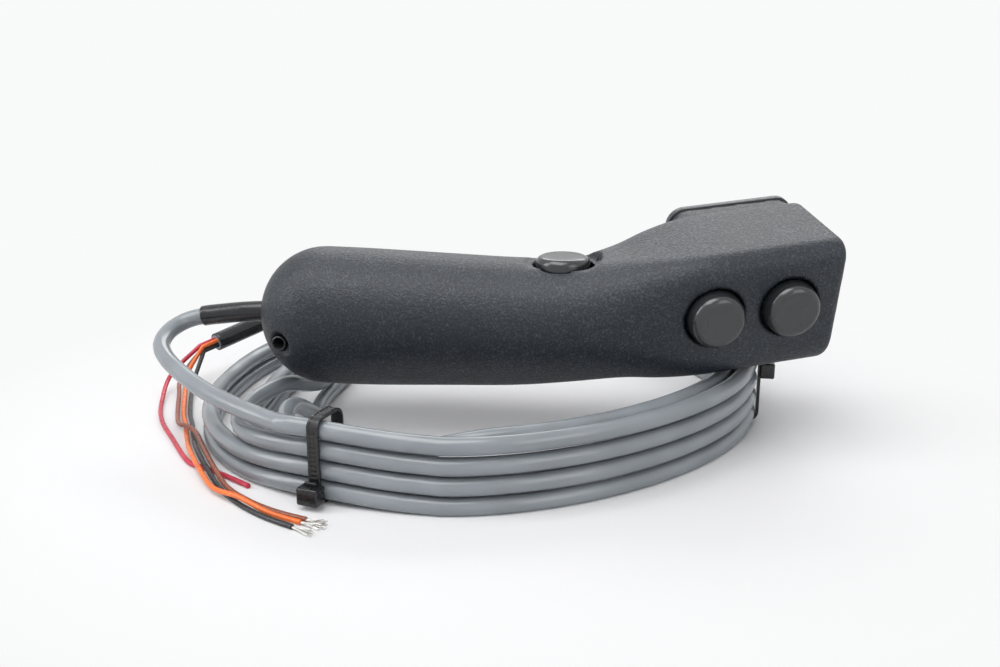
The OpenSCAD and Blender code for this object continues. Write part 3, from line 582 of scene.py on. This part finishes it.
def grained_plastic(colour, light, grain):
    """Moulded plastic with a fine raised grain. Its grain tips are painted lighter in fine specks, a painted glint in
    place of the grain's highlights.
    """
    net = Net("grained_plastic")
    fine = net.noise(1000 / grain, 2.0, 0.55)
    coarse = net.noise(330 / grain, 2.0, 0.5)
    tone = net.noise(22, 3.0)
    # Painted glint: fine specks where the base colour turns to the lighter grain-tip colour, in place of the grain's
    # highlights.
    painted_glint_mask = net.span(fine, 0.48, 0.70)
    shade = net.mixed(painted_glint_mask * net.span(coarse, 0.35, 0.65, 0.45, 1.0), rgba(colour), rgba(light))
    shade = net.mixed(net.span(tone, 0.35, 0.65, 0.0, 0.22), shade, rgba(colour, 0.55))
    rough = net.span(fine, 0.3, 0.7, 0.56, 0.4)
    return net.surface(colour=shade, rough=rough, gloss=0.5,
                       normal=net.bump(fine + coarse * 0.5, 0.6, 0.00035))


def satin_plastic(name, colour, rough=0.38, fine=700.0, depth=0.00006, gloss=0.5, wear=1.35):
    """Smooth moulded plastic or rubber with a faint unevenness and slightly worn, lighter patches."""
    net = Net(name)
    small = net.noise(fine, 3.0, 0.6)
    large = net.noise(60, 3.0)
    shade = net.mixed(net.span(large, 0.4, 0.7), rgba(colour), rgba(colour, wear))
    return net.surface(colour=shade, rough=net.span(small, 0.3, 0.7, rough - 0.05, rough + 0.07), gloss=gloss,
                       normal=net.bump(small + large * 0.6, 0.4, depth))


def cable_jacket(colour, rough):
    """A soft grey jacket, slightly wavy over the cores inside, so its highlights break up."""
    net = Net("grey_jacket")
    place = net.place()
    wave = net.noise(80, 0.5, 0.4, place)
    fine = net.noise(1400, 2.0, 0.5, place)
    dust = net.noise(240, 4.0, 0.65, place)
    shade = net.mixed(net.span(wave, 0.35, 0.7), rgba(colour, 0.93), rgba(colour, 1.06))
    shade = net.mixed(net.span(dust, 0.5, 0.9, 0.0, 0.06), shade, rgba(colour, 1.2))
    return net.surface(colour=shade, rough=net.span(wave, 0.3, 0.7, rough - 0.03, rough + 0.05), gloss=0.6,
                       normal=net.bump(wave + fine * 0.01, 0.6, 0.0008))


def insulation(name, colour):
    """Thin glossy insulation of one conductor."""
    net = Net(name)
    wave = net.noise(160, 2.0)
    fine = net.noise(900, 2.0)
    shade = net.mixed(net.span(wave, 0.35, 0.65), rgba(colour, 0.85), rgba(colour, 1.08))
    return net.surface(colour=shade, rough=net.span(fine, 0.3, 0.7, 0.24, 0.38), normal=net.bump(wave, 0.35, 0.0004))


def worked_metal(name, colour, rough=0.32):
    """Turned or drawn metal with fine marks and a little tarnish."""
    net = Net(name)
    marks = net.noise(1800, 3.0, 0.6)
    tarnish = net.noise(120, 4.0, 0.6)
    shade = net.mixed(net.span(tarnish, 0.45, 0.75), rgba(colour), rgba(colour, 0.62))
    return net.surface(colour=shade, metal=1.0, rough=net.span(tarnish, 0.3, 0.7, rough - 0.08, rough + 0.14),
                       normal=net.bump(marks, 0.25, 0.00005))


def studio_paper(colour):
    """Matt white paper. Away from the object it fades to plain white, for the camera and reflections only. The fade
    starts close beside the object, so its white is painted light over the object's cast shadow on the floor.
    """
    net = Net("studio_floor")
    place = net.place()
    shade = net.mixed(net.noise(3.0, 2.0, 0.5, place), rgba(colour), rgba(colour, 0.985))
    away = net.node("ShaderNodeVectorMath", {"operation": "DISTANCE"}, [place, (0.07, 0.02, GROUND * MM)], out=1)
    # Painted light: from 0.085 m off the centre the white emission covers the cast shadow beside the coil and the
    # head.
    far = net.span(away, 0.085, 0.18)
    seen, glossy = net.node("ShaderNodeLightPath", out=0), net.node("ShaderNodeLightPath", out=3)
    white = net.node("ShaderNodeEmission", {}, {"Color": (0.945, 0.95, 0.95, 1), "Strength": 1.0})
    paper = net.node("ShaderNodeBsdfPrincipled", {}, {"Base Color": shade, "Roughness": 0.75})
    mix = net.node("ShaderNodeMixShader", {}, [net.span(seen + glossy, 0, 1) * far, paper, white])
    net.node("ShaderNodeOutputMaterial", {}, [mix])
    return net.material


# ---- Settings ----

def colour_setting(name, what, default):
    return bpy.props.FloatVectorProperty(name=name, description="Colour of " + what, subtype="COLOR", size=3,
                                         min=0, max=1, default=default)


class ShellSettings(bpy.types.PropertyGroup):
    """The housing's surface."""
    colour: colour_setting("Plastic", "the grained plastic", (0.0058, 0.0092, 0.0145))
    # The grain-tip colour is a painted glint: lighter specks painted into the plastic in place of the grain's
    # highlights.
    light: colour_setting("Grain tips", "the grain's worn tips", (0.046, 0.064, 0.089))
    grain: bpy.props.FloatProperty(name="Grain", description="Size of one grain in millimetres",
                                   min=0.2, max=2, default=0.62)
    voxel: bpy.props.FloatProperty(name="Edge", description="How fine the shell's mesh is, and so how soft its edges",
                                   subtype="DISTANCE", unit="LENGTH", min=0.0004, max=0.0015, default=0.0007)


class CableSettings(bpy.types.PropertyGroup):
    """The cable and its conductors."""
    colour: colour_setting("Jacket", "the cable's jacket", (0.25, 0.276, 0.297))
    rough: bpy.props.FloatProperty(name="Roughness", description="Roughness of the jacket", subtype="FACTOR",
                                   min=0, max=1, default=0.2)
    red: colour_setting("Red", "the red conductor", (0.52, 0.018, 0.05))
    orange: colour_setting("Orange", "the orange conductor", (0.86, 0.17, 0.025))
    brown: colour_setting("Brown", "the brown conductor", (0.27, 0.075, 0.04))
    black: colour_setting("Black", "the black conductor", (0.012, 0.014, 0.017))


class StageSettings(bpy.types.PropertyGroup):
    """The floor and the lamps."""
    floor: colour_setting("Floor", "the floor", (0.8, 0.8, 0.81))
    key: bpy.props.FloatProperty(name="Key lamp", description="Power of the large lamp overhead", subtype="POWER",
                                 unit="POWER", min=0, max=200, default=8.0)


class UnitOperator:
    """What all the unit's operators share."""
    bl_options = {"REGISTER", "UNDO"}


class UNIT_OT_stage(UnitOperator, bpy.types.Operator):
    """Make the camera, the floor and the lamps"""
    bl_idname = "unit.stage"
    bl_label = "Stage"

    def execute(self, context):
        s = context.scene.unit_stage
        data = bpy.data.cameras.new("camera")
        data.lens, data.sensor_width, data.shift_x = 41.4, 36.0, -0.004
        camera = bpy.data.objects.new("camera", data)
        camera.location = (0.1262, -0.3347, 0.0961)
        camera.rotation_euler = (math.radians(73.5), 0, math.radians(8.5))
        context.scene.collection.objects.link(camera)
        context.scene.camera = camera
        context.scene.view_settings.view_transform = "Standard"
        self.floor(s)
        self.lamps(s)
        self.world(context.scene)
        return {"FINISHED"}

    def floor(self, s):
        """A sheet that runs back and sweeps up behind the object."""
        steps, stride, rise = 12, 0.11, 2.5
        pick()
        bpy.ops.mesh.primitive_plane_add(size=4.0, location=(0.07, 0.4, GROUND * MM))
        o = bpy.context.active_object
        o.name = "floor"
        bpy.ops.object.mode_set(mode="EDIT")
        bm = bmesh.from_edit_mesh(o.data)
        for e in bm.edges:
            e.select = all(v.co.y > 1 for v in e.verts)
        bmesh.update_edit_mesh(o.data)
        for k in range(steps):
            a = math.radians(90 * (k + 0.5) / steps)
            bpy.ops.mesh.extrude_region_move(TRANSFORM_OT_translate={
                "value": (0, stride * math.cos(a), stride * math.sin(a))})
        bpy.ops.mesh.extrude_region_move(TRANSFORM_OT_translate={"value": (0, 0, rise)})
        bpy.ops.object.mode_set(mode="OBJECT")
        settle(o)
        smooth(o, 60)
        o.data.materials.append(studio_paper(s.floor))

    def lamps(self, s):
        """Large soft lamps: one overhead, one at each side and one behind."""
        for name, place, aim, size, power in (
                ("key", (-0.15, -0.25, 0.95), (0.08, 0.05, 0), (0.9, 0.7), s.key),
                ("window", (-0.75, -0.25, 0.45), (0.08, 0.0, 0), (0.35, 0.6), s.key * 0.35),
                ("fill", (0.8, -0.7, 0.5), (0.1, 0.0, 0), (0.7, 0.7), s.key * 0.35),
                ("rear", (0.1, 0.9, 0.7), (0.1, 0.1, 0), (1.0, 0.4), s.key * 0.6)):
            data = bpy.data.lights.new(name, "AREA")
            data.shape, data.size, data.size_y, data.energy = "RECTANGLE", size[0], size[1], power
            lamp = bpy.data.objects.new(name, data)
            lamp.location = place
            lamp.rotation_euler = (Vector(aim) - Vector(place)).to_track_quat("-Z", "Y").to_euler()
            bpy.context.scene.collection.objects.link(lamp)

    def world(self, scene):
        world = bpy.data.worlds.new("world")
        scene.world = world
        world.use_nodes = True
        back = world.node_tree.nodes["Background"]
        back.inputs["Color"].default_value = (0.92, 0.95, 1.0, 1)
        back.inputs["Strength"].default_value = 0.85


class UNIT_OT_cable(UnitOperator, bpy.types.Operator):
    """Lay the grey cable: lead, tied coil and tail"""
    bl_idname = "unit.cable"
    bl_label = "Cable"

    def execute(self, context):
        s = context.scene.unit_cable
        route = cable_route()
        cable = rod("grey_cable", route, CORD / 2, resolution=7)
        finished(cable, "grey_cable", cable_jacket(s.colour, s.rough), "grey_jacket",
                 nodes=("cable_lead", "cable_coil", "cable_tail"))
        length = sum((b - a).length for a, b in zip(route, route[1:]))
        return {"FINISHED"}


class UNIT_OT_conductors(UnitOperator, bpy.types.Operator):
    """Lay the four conductors and fan out their bare strands"""
    bl_idname = "unit.conductors"
    bl_label = "Conductors"

    def execute(self, context):
        s = context.scene.unit_cable
        for name, route in CORES.items():
            core = rod("core_" + name, route, CORE / 2, resolution=4)
            finished(core, "core_" + name, insulation(name + "_insulation", getattr(s, name)), name + "_insulation",
                     nodes=("wire_" + name,))
            length = sum((b - a).length for a, b in zip(route, route[1:]))
            (route[0] * MM)[:]
        self.strands()
        return {"FINISHED"}

    def strands(self):
        """Thin strands at the end of each of three conductors: one in the middle, the others fanned round it."""
        around, ring_r, strand_r = 8, 0.3, 0.14
        rng = random.Random(7)
        made = []
        for name in ("orange", "brown", "black"):
            route = CORES[name]
            along = (route[-1] - route[-2]).normalized()
            side = Vector((0, 0, 1)).cross(along).normalized()
            up = along.cross(side)
            for k in range(around + 1):
                a = 2 * math.pi * k / around
                r, calm = (0.0, 0.4) if k == around else (ring_r, 1.0)
                spread = rng.uniform(0.6, 1.5)
                reach = rng.uniform(5.4, 7.4)
                line = []
                for t in (-0.25, 0, 0.25, 0.5, 0.75, 1.0):
                    fan = r + spread * max(t, 0) ** 1.6 * calm
                    p = (route[-1] + along * reach * t + side * math.cos(a + 0.5 * t) * fan
                         + up * math.sin(a + 0.5 * t) * fan * 0.6)
                    p.z = max(p.z, GROUND + 0.2)
                    line.append(p)
                made.append(as_mesh(rod("strand", bend(line, 3), strand_r, resolution=1)))
        pick(*made)
        bpy.ops.object.join()
        o = bpy.context.active_object
        smooth(o, 60)
        finished(o, "bare_strands", worked_metal("tinned_strands", (0.78, 0.77, 0.74), 0.36), "tinned_strands",
                 nodes=("wire_ends",))


class UNIT_OT_shell(UnitOperator, bpy.types.Operator):
    """Model the housing: grip, slanting head, flange, pockets and bores"""
    bl_idname = "unit.shell"
    bl_label = "Shell"

    def execute(self, context):
        s = context.scene.unit_shell
        o = self.body()
        self.cut(o)
        o.data.transform(Matrix.Scale(MM, 4))
        outward(o, 1e-7)
        with_modifier(o, "REMESH", mode="VOXEL", voxel_size=s.voxel, use_smooth_shade=True)
        with_modifier(o, "SMOOTH", factor=0.5, iterations=4)
        finished(o, "grip_shell", grained_plastic(s.colour, s.light, s.grain), "textured_plastic", nodes=("housing",))
        return {"FINISHED"}

    def rings(self, inset, dome, body, tip):
        """The grip's rings, so many over its rear dome, its body and its front edge. Tip 0 stops a wall short."""
        dome_share, tip_share, first = DOME / GRIP_LEN, TIP / GRIP_LEN, inset / GRIP_LEN
        out = []
        for i in range(1, dome + 1):
            t = math.radians(90 * i / dome)
            s = first + (dome_share - first) * (1 - math.cos(t))
            out.append(grip_ring(s, inset, math.sin(t)))
        last = tip_share if tip else WALL / GRIP_LEN
        for i in range(1, body + 1):
            out.append(grip_ring(dome_share + (1 - last - dome_share) * i / body, inset))
        for i in range(1, tip + 1):
            t = math.radians(90 * i / tip)
            out.append(grip_ring(1 - tip_share * (1 - math.sin(t)), TIP * (1 - math.cos(t))))
        return out

    def body(self):
        """The skin and its flange, hollowed, with the bosses behind the buttons."""
        o = loft("shell", self.rings(0, 12, 66, 6))
        h, slip, end_slip, rim, back = HEAD_H / 2, 0.2, 0.8, 6.4, FLANGE_Y - FLANGE_T
        flange = slab("flange", (-FLANGE_LEN + slip, back, -h + slip), (-end_slip, FLANGE_Y, h - slip), FLANGE_R)
        carve(o, put(flange, HEAD), how="UNION")
        carve(o, loft("hollow", self.rings(WALL, 6, 30, 0)))
        window = slab("window", (-FLANGE_LEN + rim, back - 2.9, -h + rim), (-rim, FLANGE_Y + 1, h - rim), 3.0)
        carve(o, put(window, HEAD))
        for k, top in enumerate(BOSS_TOPS):
            carve(o, put(drum("boss", BOSS_R, BOSS_LOW, top), button_place(k)), how="UNION")
        for x in (-4.6, -36.6):
            for z in (-15.4, 15.4):
                post = put(drum("post", 3.0, 0, FLANGE_T + 4.6, 32), LEVEL.inverted())
                carve(o, put(post, HEAD @ Matrix.Translation((x, back - 5, z))), how="UNION")
        return o

    def cut(self, o):
        """The joint face, the buttons' pockets, the bores and the recess round the hollow pin."""
        carve(o, put(block("face", (-43.2, FLANGE_Y, -40), (2, FLANGE_Y + 40, 40)), HEAD))
        for k in range(3):
            m = button_place(k)
            carve(o, put(drum("pocket", POCKET_R, POCKET_LOW, 3, 96), m))
            carve(o, put(drum("bush", BUSH_R, BUSH_LOW, BUSH_TOP), m))
        carve(o, put(drum("spot", SPOT_R, SPOT_LOW, 3, 96), button_place(2)))
        carve(o, put(drum("exit", SLEEVE / 2 + 0.05, -20, 20), Matrix.Rotation(math.pi / 2, 4, "Y")))
        carve(o, put(drum("pin", PIN_R, -42, 42), PIN))
        carve(o, put(drum("recess", RECESS_R, RECESS_FROM, 34), PIN))


class UNIT_OT_cover(UnitOperator, bpy.types.Operator):
    """Finish the cover plate, its gasket and its screws"""
    bl_idname = "unit.cover"
    bl_label = "Cover"

    def execute(self, context):
        dressed("cover_plate", "back_plate", satin_plastic("plate_plastic", (0.05, 0.053, 0.058), 0.42),
                "plate_plastic", edge=0.45)
        dressed("cover_gasket", "plate_gasket", satin_plastic("gasket_rubber", (0.02, 0.02, 0.02), 0.7),
                "seal_rubber", edge=0.1)
        dressed("cover_screws", "plate_screws", worked_metal("screw_steel", (0.42, 0.42, 0.43), 0.3), "screw_steel",
                edge=0.15)
        return {"FINISHED"}


class UNIT_OT_buttons(UnitOperator, bpy.types.Operator):
    """Turn the three button caps"""
    bl_idname = "unit.buttons"
    bl_label = "Buttons"

    def execute(self, context):
        dished = [(0, -0.12), (3, -0.12), (4.8, -0.1), (5.4, -0.04)]
        rim = [(CAP_R - CAP_ROUND + CAP_ROUND * math.cos(a), CAP_ROUND * math.sin(a) - CAP_ROUND)
               for a in (math.radians(angle) for angle in range(90, -1, -10))]
        skirt = [(8.3, -2.9), (8.5, -5.0), (8.45, -5.3), (8.25, -5.5), (7.4, -5.5), (7.2, -5.3), (7.2, -2.6)]
        stem = [(6.4, -1.8), (3.4, -1.8), (3.4, -3.2), (2.02, -3.2), (2.02, -1.8), (0, -1.8)]
        master = lathe("cap", dished + rim + skirt + stem)
        finish = satin_plastic("cap_rubber", (0.017, 0.0195, 0.0215), 0.2, 900, 0.00003, gloss=0.7)
        for k, side in enumerate(SIDES):
            o = bpy.data.objects.new(side + "_button_cap", master.data.copy())
            bpy.context.scene.collection.objects.link(o)
            moved(o, button_place(k))
            smooth(o, 40)
            finished(o, side + "_button_cap", finish, "cap_rubber", side + "_button", (side + "_cap",))
        bpy.data.objects.remove(master)
        return {"FINISHED"}


class UNIT_OT_switches(UnitOperator, bpy.types.Operator):
    """Finish the switches behind the buttons: bodies, nuts, seals, terminals, plungers and springs"""
    bl_idname = "unit.switches"
    bl_label = "Switches"

    def execute(self, context):
        body = satin_plastic("switch_body_plastic", (0.045, 0.045, 0.05), 0.45)
        stem = satin_plastic("plunger_plastic", (0.72, 0.71, 0.66), 0.4, wear=0.9)
        wire = worked_metal("spring_steel", (0.6, 0.6, 0.62), 0.28)
        for k, side in enumerate(SIDES):
            dressed(side + "_switch", side + "_switch_body", body, "switch_body_plastic", edge=0.3)
            dressed(side + "_plunger", side + "_switch_plunger", stem, "plunger_plastic", side + "_button", edge=0.2)
            self.spring(side, button_place(k), wire)
        dressed("switch_nuts", "bush_nuts", worked_metal("nut_brass", (0.62, 0.6, 0.52), 0.3), "nut_brass", edge=0.2)
        dressed("switch_seals", "bush_seals", satin_plastic("seal_rubber", (0.02, 0.02, 0.021), 0.68), "seal_rubber",
                edge=0.15)
        dressed("switch_terminals", "solder_terminals", worked_metal("contact_brass", (0.72, 0.56, 0.26), 0.3),
                "contact_brass", edge=0.15)
        return {"FINISHED"}

    def spring(self, side, place, wire):
        """A round wire wound in four turns, at its rest length."""
        turns, steps = 4, 24
        drop = (SPRING_LOW - SPRING_TOP) / (turns * steps)
        line = []
        for i in range(turns * steps + 1):
            a = 2 * math.pi * i / steps
            line.append(place @ Vector((SPRING_R * math.cos(a), SPRING_R * math.sin(a), SPRING_TOP + drop * i)))
        o = as_mesh(rod(side + "_wire", line, SPRING_WIRE / 2, resolution=2))
        smooth(o, 60)
        finished(o, side + "_return_spring", wire, "spring_steel", nodes=(side + "_spring",))
        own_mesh(o)


class UNIT_OT_exit(UnitOperator, bpy.types.Operator):
    """Finish the cable's exit: sleeves, hollow pin, clamp and inner leads"""
    bl_idname = "unit.exit"
    bl_label = "Exit"

    def execute(self, context):
        shrink = satin_plastic("shrink_sleeve", (0.0085, 0.009, 0.011), 0.24, 240, 0.00025)
        self.sleeve("exit_boot", lead_route()[:ROUTE_STEPS * (len(EXIT_ROUTE) - 1) + 1], shrink, ("exit_sleeve",))
        self.sleeve("tail_boot", tail_route()[-(2 * ROUTE_STEPS + 1):], shrink, ("tail_sleeve",))
        self.pin()
        grip = satin_plastic("clamp_plastic", (0.07, 0.07, 0.075), 0.45)
        dressed("clamp_block", "cable_clamp_block", grip, "switch_body_plastic", edge=0.3)
        dressed("clamp_saddle", "cable_clamp_saddle", grip, "switch_body_plastic", edge=0.3)
        dressed("clamp_screws", "cable_clamp_screws", worked_metal("clamp_screw_steel", (0.5, 0.5, 0.52), 0.3),
                "screw_steel", edge=0.15)
        dressed("inner_cable", "cable_inside", bpy.data.materials["grey_jacket"], "grey_jacket", edge=0.2)
        dressed("switch_leads", "leads_inside", satin_plastic("lead_insulation", (0.1, 0.1, 0.11), 0.35),
                "black_insulation", edge=0.02, angle=60)
        return {"FINISHED"}

    def sleeve(self, name, route, material, nodes):
        """A shrunk sleeve: a tube round the cable with a wall and soft ends."""
        o = as_mesh(rod(name, route, SLEEVE / 2, caps=False, resolution=10))
        outward(o, 1e-7)
        with_modifier(o, "SOLIDIFY", thickness=0.52 * MM, offset=-1.0)
        with_modifier(o, "BEVEL", width=0.18 * MM, segments=2, limit_method="ANGLE", angle_limit=math.radians(50))
        smooth(o, 50)
        return finished(o, name, material, "shrink_sleeve", nodes=nodes)

    def pin(self):
        """The hollow pin with rolled ends, across the handle's rear."""
        end = [(PIN_BORE, PIN_HALF - 0.3), (1.8, PIN_HALF - 0.05), (2.05, PIN_HALF), (2.25, PIN_HALF - 0.15),
               (PIN_R, PIN_HALF - 0.5)]
        profile = [(r, -z) for r, z in end] + end[::-1]
        o = lathe("pin", profile + profile[:1], 64)
        moved(o, PIN)
        smooth(o, 40)
        finished(o, "hollow_cross_pin", satin_plastic("pin_metal", (0.03, 0.031, 0.034), 0.3, 900, 0.00004),
                 "plate_plastic", nodes=("hollow_pin",))


class UNIT_OT_ties(UnitOperator, bpy.types.Operator):
    """Close the two ribbed cable ties round the coil"""
    bl_idname = "unit.ties"
    bl_label = "Ties"

    room = 0.6
    inner_w, inner_h = PITCH_STEP + CORD + room, 3 * PITCH_STEP + CORD + room
    width, thick, corner = 3.6, 0.9, 2.4
    lock_long, lock_half, lock_tall = 4.6, 3.2, 5

    def execute(self, context):
        nylon = satin_plastic("tie_nylon", (0.0095, 0.0098, 0.011), 0.27, 500, 0.00008)
        self.tie("front_cable_tie", FRONT_TIE_AZ, 0.4, nylon, "front_tie")
        self.tie("rear_cable_tie", REAR_TIE_AZ, 14, nylon, "rear_tie")
        return {"FINISHED"}

    def frame_at(self, az):
        """The frame under the strands at an azimuth, X outward across them and Y along them."""
        def spot(a):
            return outline(a + 360) - (PITCH_STEP / 2 + 0.1) * outward_at(a)
        c, d = spot(az), spot(az + 2) - spot(az - 2)
        turn = math.atan2(-d.x, d.y)
        return Matrix.Translation((c.x, c.y, GROUND + self.thick + 0.1)) @ Matrix.Rotation(turn, 4, "Z")

    def loop(self, steps=9, stride=0.45):
        """Points and normals round the strap's loop, in the plane across the coil."""
        w, h, r = self.inner_w / 2, self.inner_h, self.corner
        corners = []
        for cx, cz, start in ((w - r, h - r, 0), (-w + r, h - r, 90), (-w + r, r, 180), (w - r, r, 270)):
            for i in range(steps):
                a = math.radians(start + 90 * i / (steps - 1))
                corners.append((Vector((cx + r * math.cos(a), 0, cz + r * math.sin(a))),
                                Vector((math.cos(a), 0, math.sin(a)))))
        out = []
        for i, (p, n) in enumerate(corners):
            q, m = corners[(i + 1) % len(corners)]
            count = max(1, int((q - p).length / stride))
            for j in range(count):
                t = j / count
                out.append((p.lerp(q, t), n.lerp(m, t).normalized()))
        return out

    def tie(self, name, az, lock, nylon, node):
        """A strap with a ribbed groove along its outside, and its lock on the outer side at the height given."""
        half, t, soft, groove = self.width / 2, self.thick, 0.12, 0.12
        rings = []
        for i, (p, n) in enumerate(self.loop()):
            floor = t - groove - (0.16 if i % 3 == 0 else 0.0)
            section = [(-half, soft), (-half + soft, 0), (half - soft, 0), (half, soft), (half, t - 0.2),
                       (half - 0.15, t), (half - 0.75, t - 0.02), (half - 0.85, floor),
                       (-half + 0.85, floor), (-half + 0.75, t - 0.02), (-half + 0.15, t), (-half, t - 0.2)]
            rings.append([p + n * out + Vector((0, y, 0)) for y, out in section])
        o = self.band("strap", rings)
        x, top = self.inner_w / 2 + self.thick / 2, lock + self.lock_tall
        housing = block("lock", (x, -self.lock_half, lock), (x + self.lock_long, self.lock_half, top), 0.55)
        carve(housing, block("slot", (x + 1.4, -1.9, lock - 1), (x + 2.5, 1.9, top + 1)))
        tongue = block("end", (x + 1.5, -1.75, lock + 0.4), (x + 2.4, 1.75, top + 1.1), 0.12, 1)
        pawl = block("pawl", (x + 2.9, -1.2, lock + 3.6), (x + 4.2, 1.2, top + 0.25), 0.25, 2)
        pick(o, housing, tongue, pawl)
        bpy.ops.object.join()
        moved(o, self.frame_at(az))
        smooth(o, 35)
        finished(o, name, nylon, "tie_nylon", nodes=(node,))

    def band(self, name, rings):
        """A closed band through its cross-sections."""
        o = empty_mesh(name)
        bm = bmesh.new()
        loops = [[bm.verts.new(p) for p in ring] for ring in rings]
        n = len(rings[0])
        for a, b in zip(loops, loops[1:] + loops[:1]):
            for j in range(n):
                k = (j + 1) % n
                bm.faces.new((a[j], a[k], b[k], b[j]))
        bm.to_mesh(o.data)
        bm.free()
        return outward(o, 1e-5)


class UNIT_PT_panel(bpy.types.Panel):
    """The unit's pieces and their settings"""
    bl_idname = "UNIT_PT_panel"
    bl_label = "Control Unit"
    bl_space_type = "VIEW_3D"
    bl_region_type = "UI"
    bl_category = "Control Unit"

    def draw(self, context):
        scene = context.scene
        for settings, names in ((scene.unit_stage, ("floor", "key")),
                                (scene.unit_shell, ("colour", "light", "grain", "voxel")),
                                (scene.unit_cable, ("colour", "rough", "red", "orange", "brown", "black"))):
            box = self.layout.box()
            for name in names:
                box.prop(settings, name)
        for operator in OPERATORS:
            self.layout.operator(operator.bl_idname)


OPERATORS = (UNIT_OT_stage, UNIT_OT_cable, UNIT_OT_conductors, UNIT_OT_shell, UNIT_OT_cover, UNIT_OT_buttons,
             UNIT_OT_switches, UNIT_OT_exit, UNIT_OT_ties)
CLASSES = (ShellSettings, CableSettings, StageSettings) + OPERATORS + (UNIT_PT_panel,)


def register():
    for cls in CLASSES:
        bpy.utils.register_class(cls)
    bpy.types.Scene.unit_shell = bpy.props.PointerProperty(type=ShellSettings)
    bpy.types.Scene.unit_cable = bpy.props.PointerProperty(type=CableSettings)
    bpy.types.Scene.unit_stage = bpy.props.PointerProperty(type=StageSettings)


def unregister():
    for name in ("unit_shell", "unit_cable", "unit_stage"):
        delattr(bpy.types.Scene, name)
    for cls in reversed(CLASSES):
        bpy.utils.unregister_class(cls)


def main():
    register()
    bpy.ops.unit.stage()
    bpy.ops.unit.cable()
    bpy.ops.unit.conductors()
    bpy.ops.unit.shell()
    bpy.ops.unit.cover()
    bpy.ops.unit.buttons()
    bpy.ops.unit.switches()
    bpy.ops.unit.exit()
    bpy.ops.unit.ties()


if __name__ == "__main__":
    main()
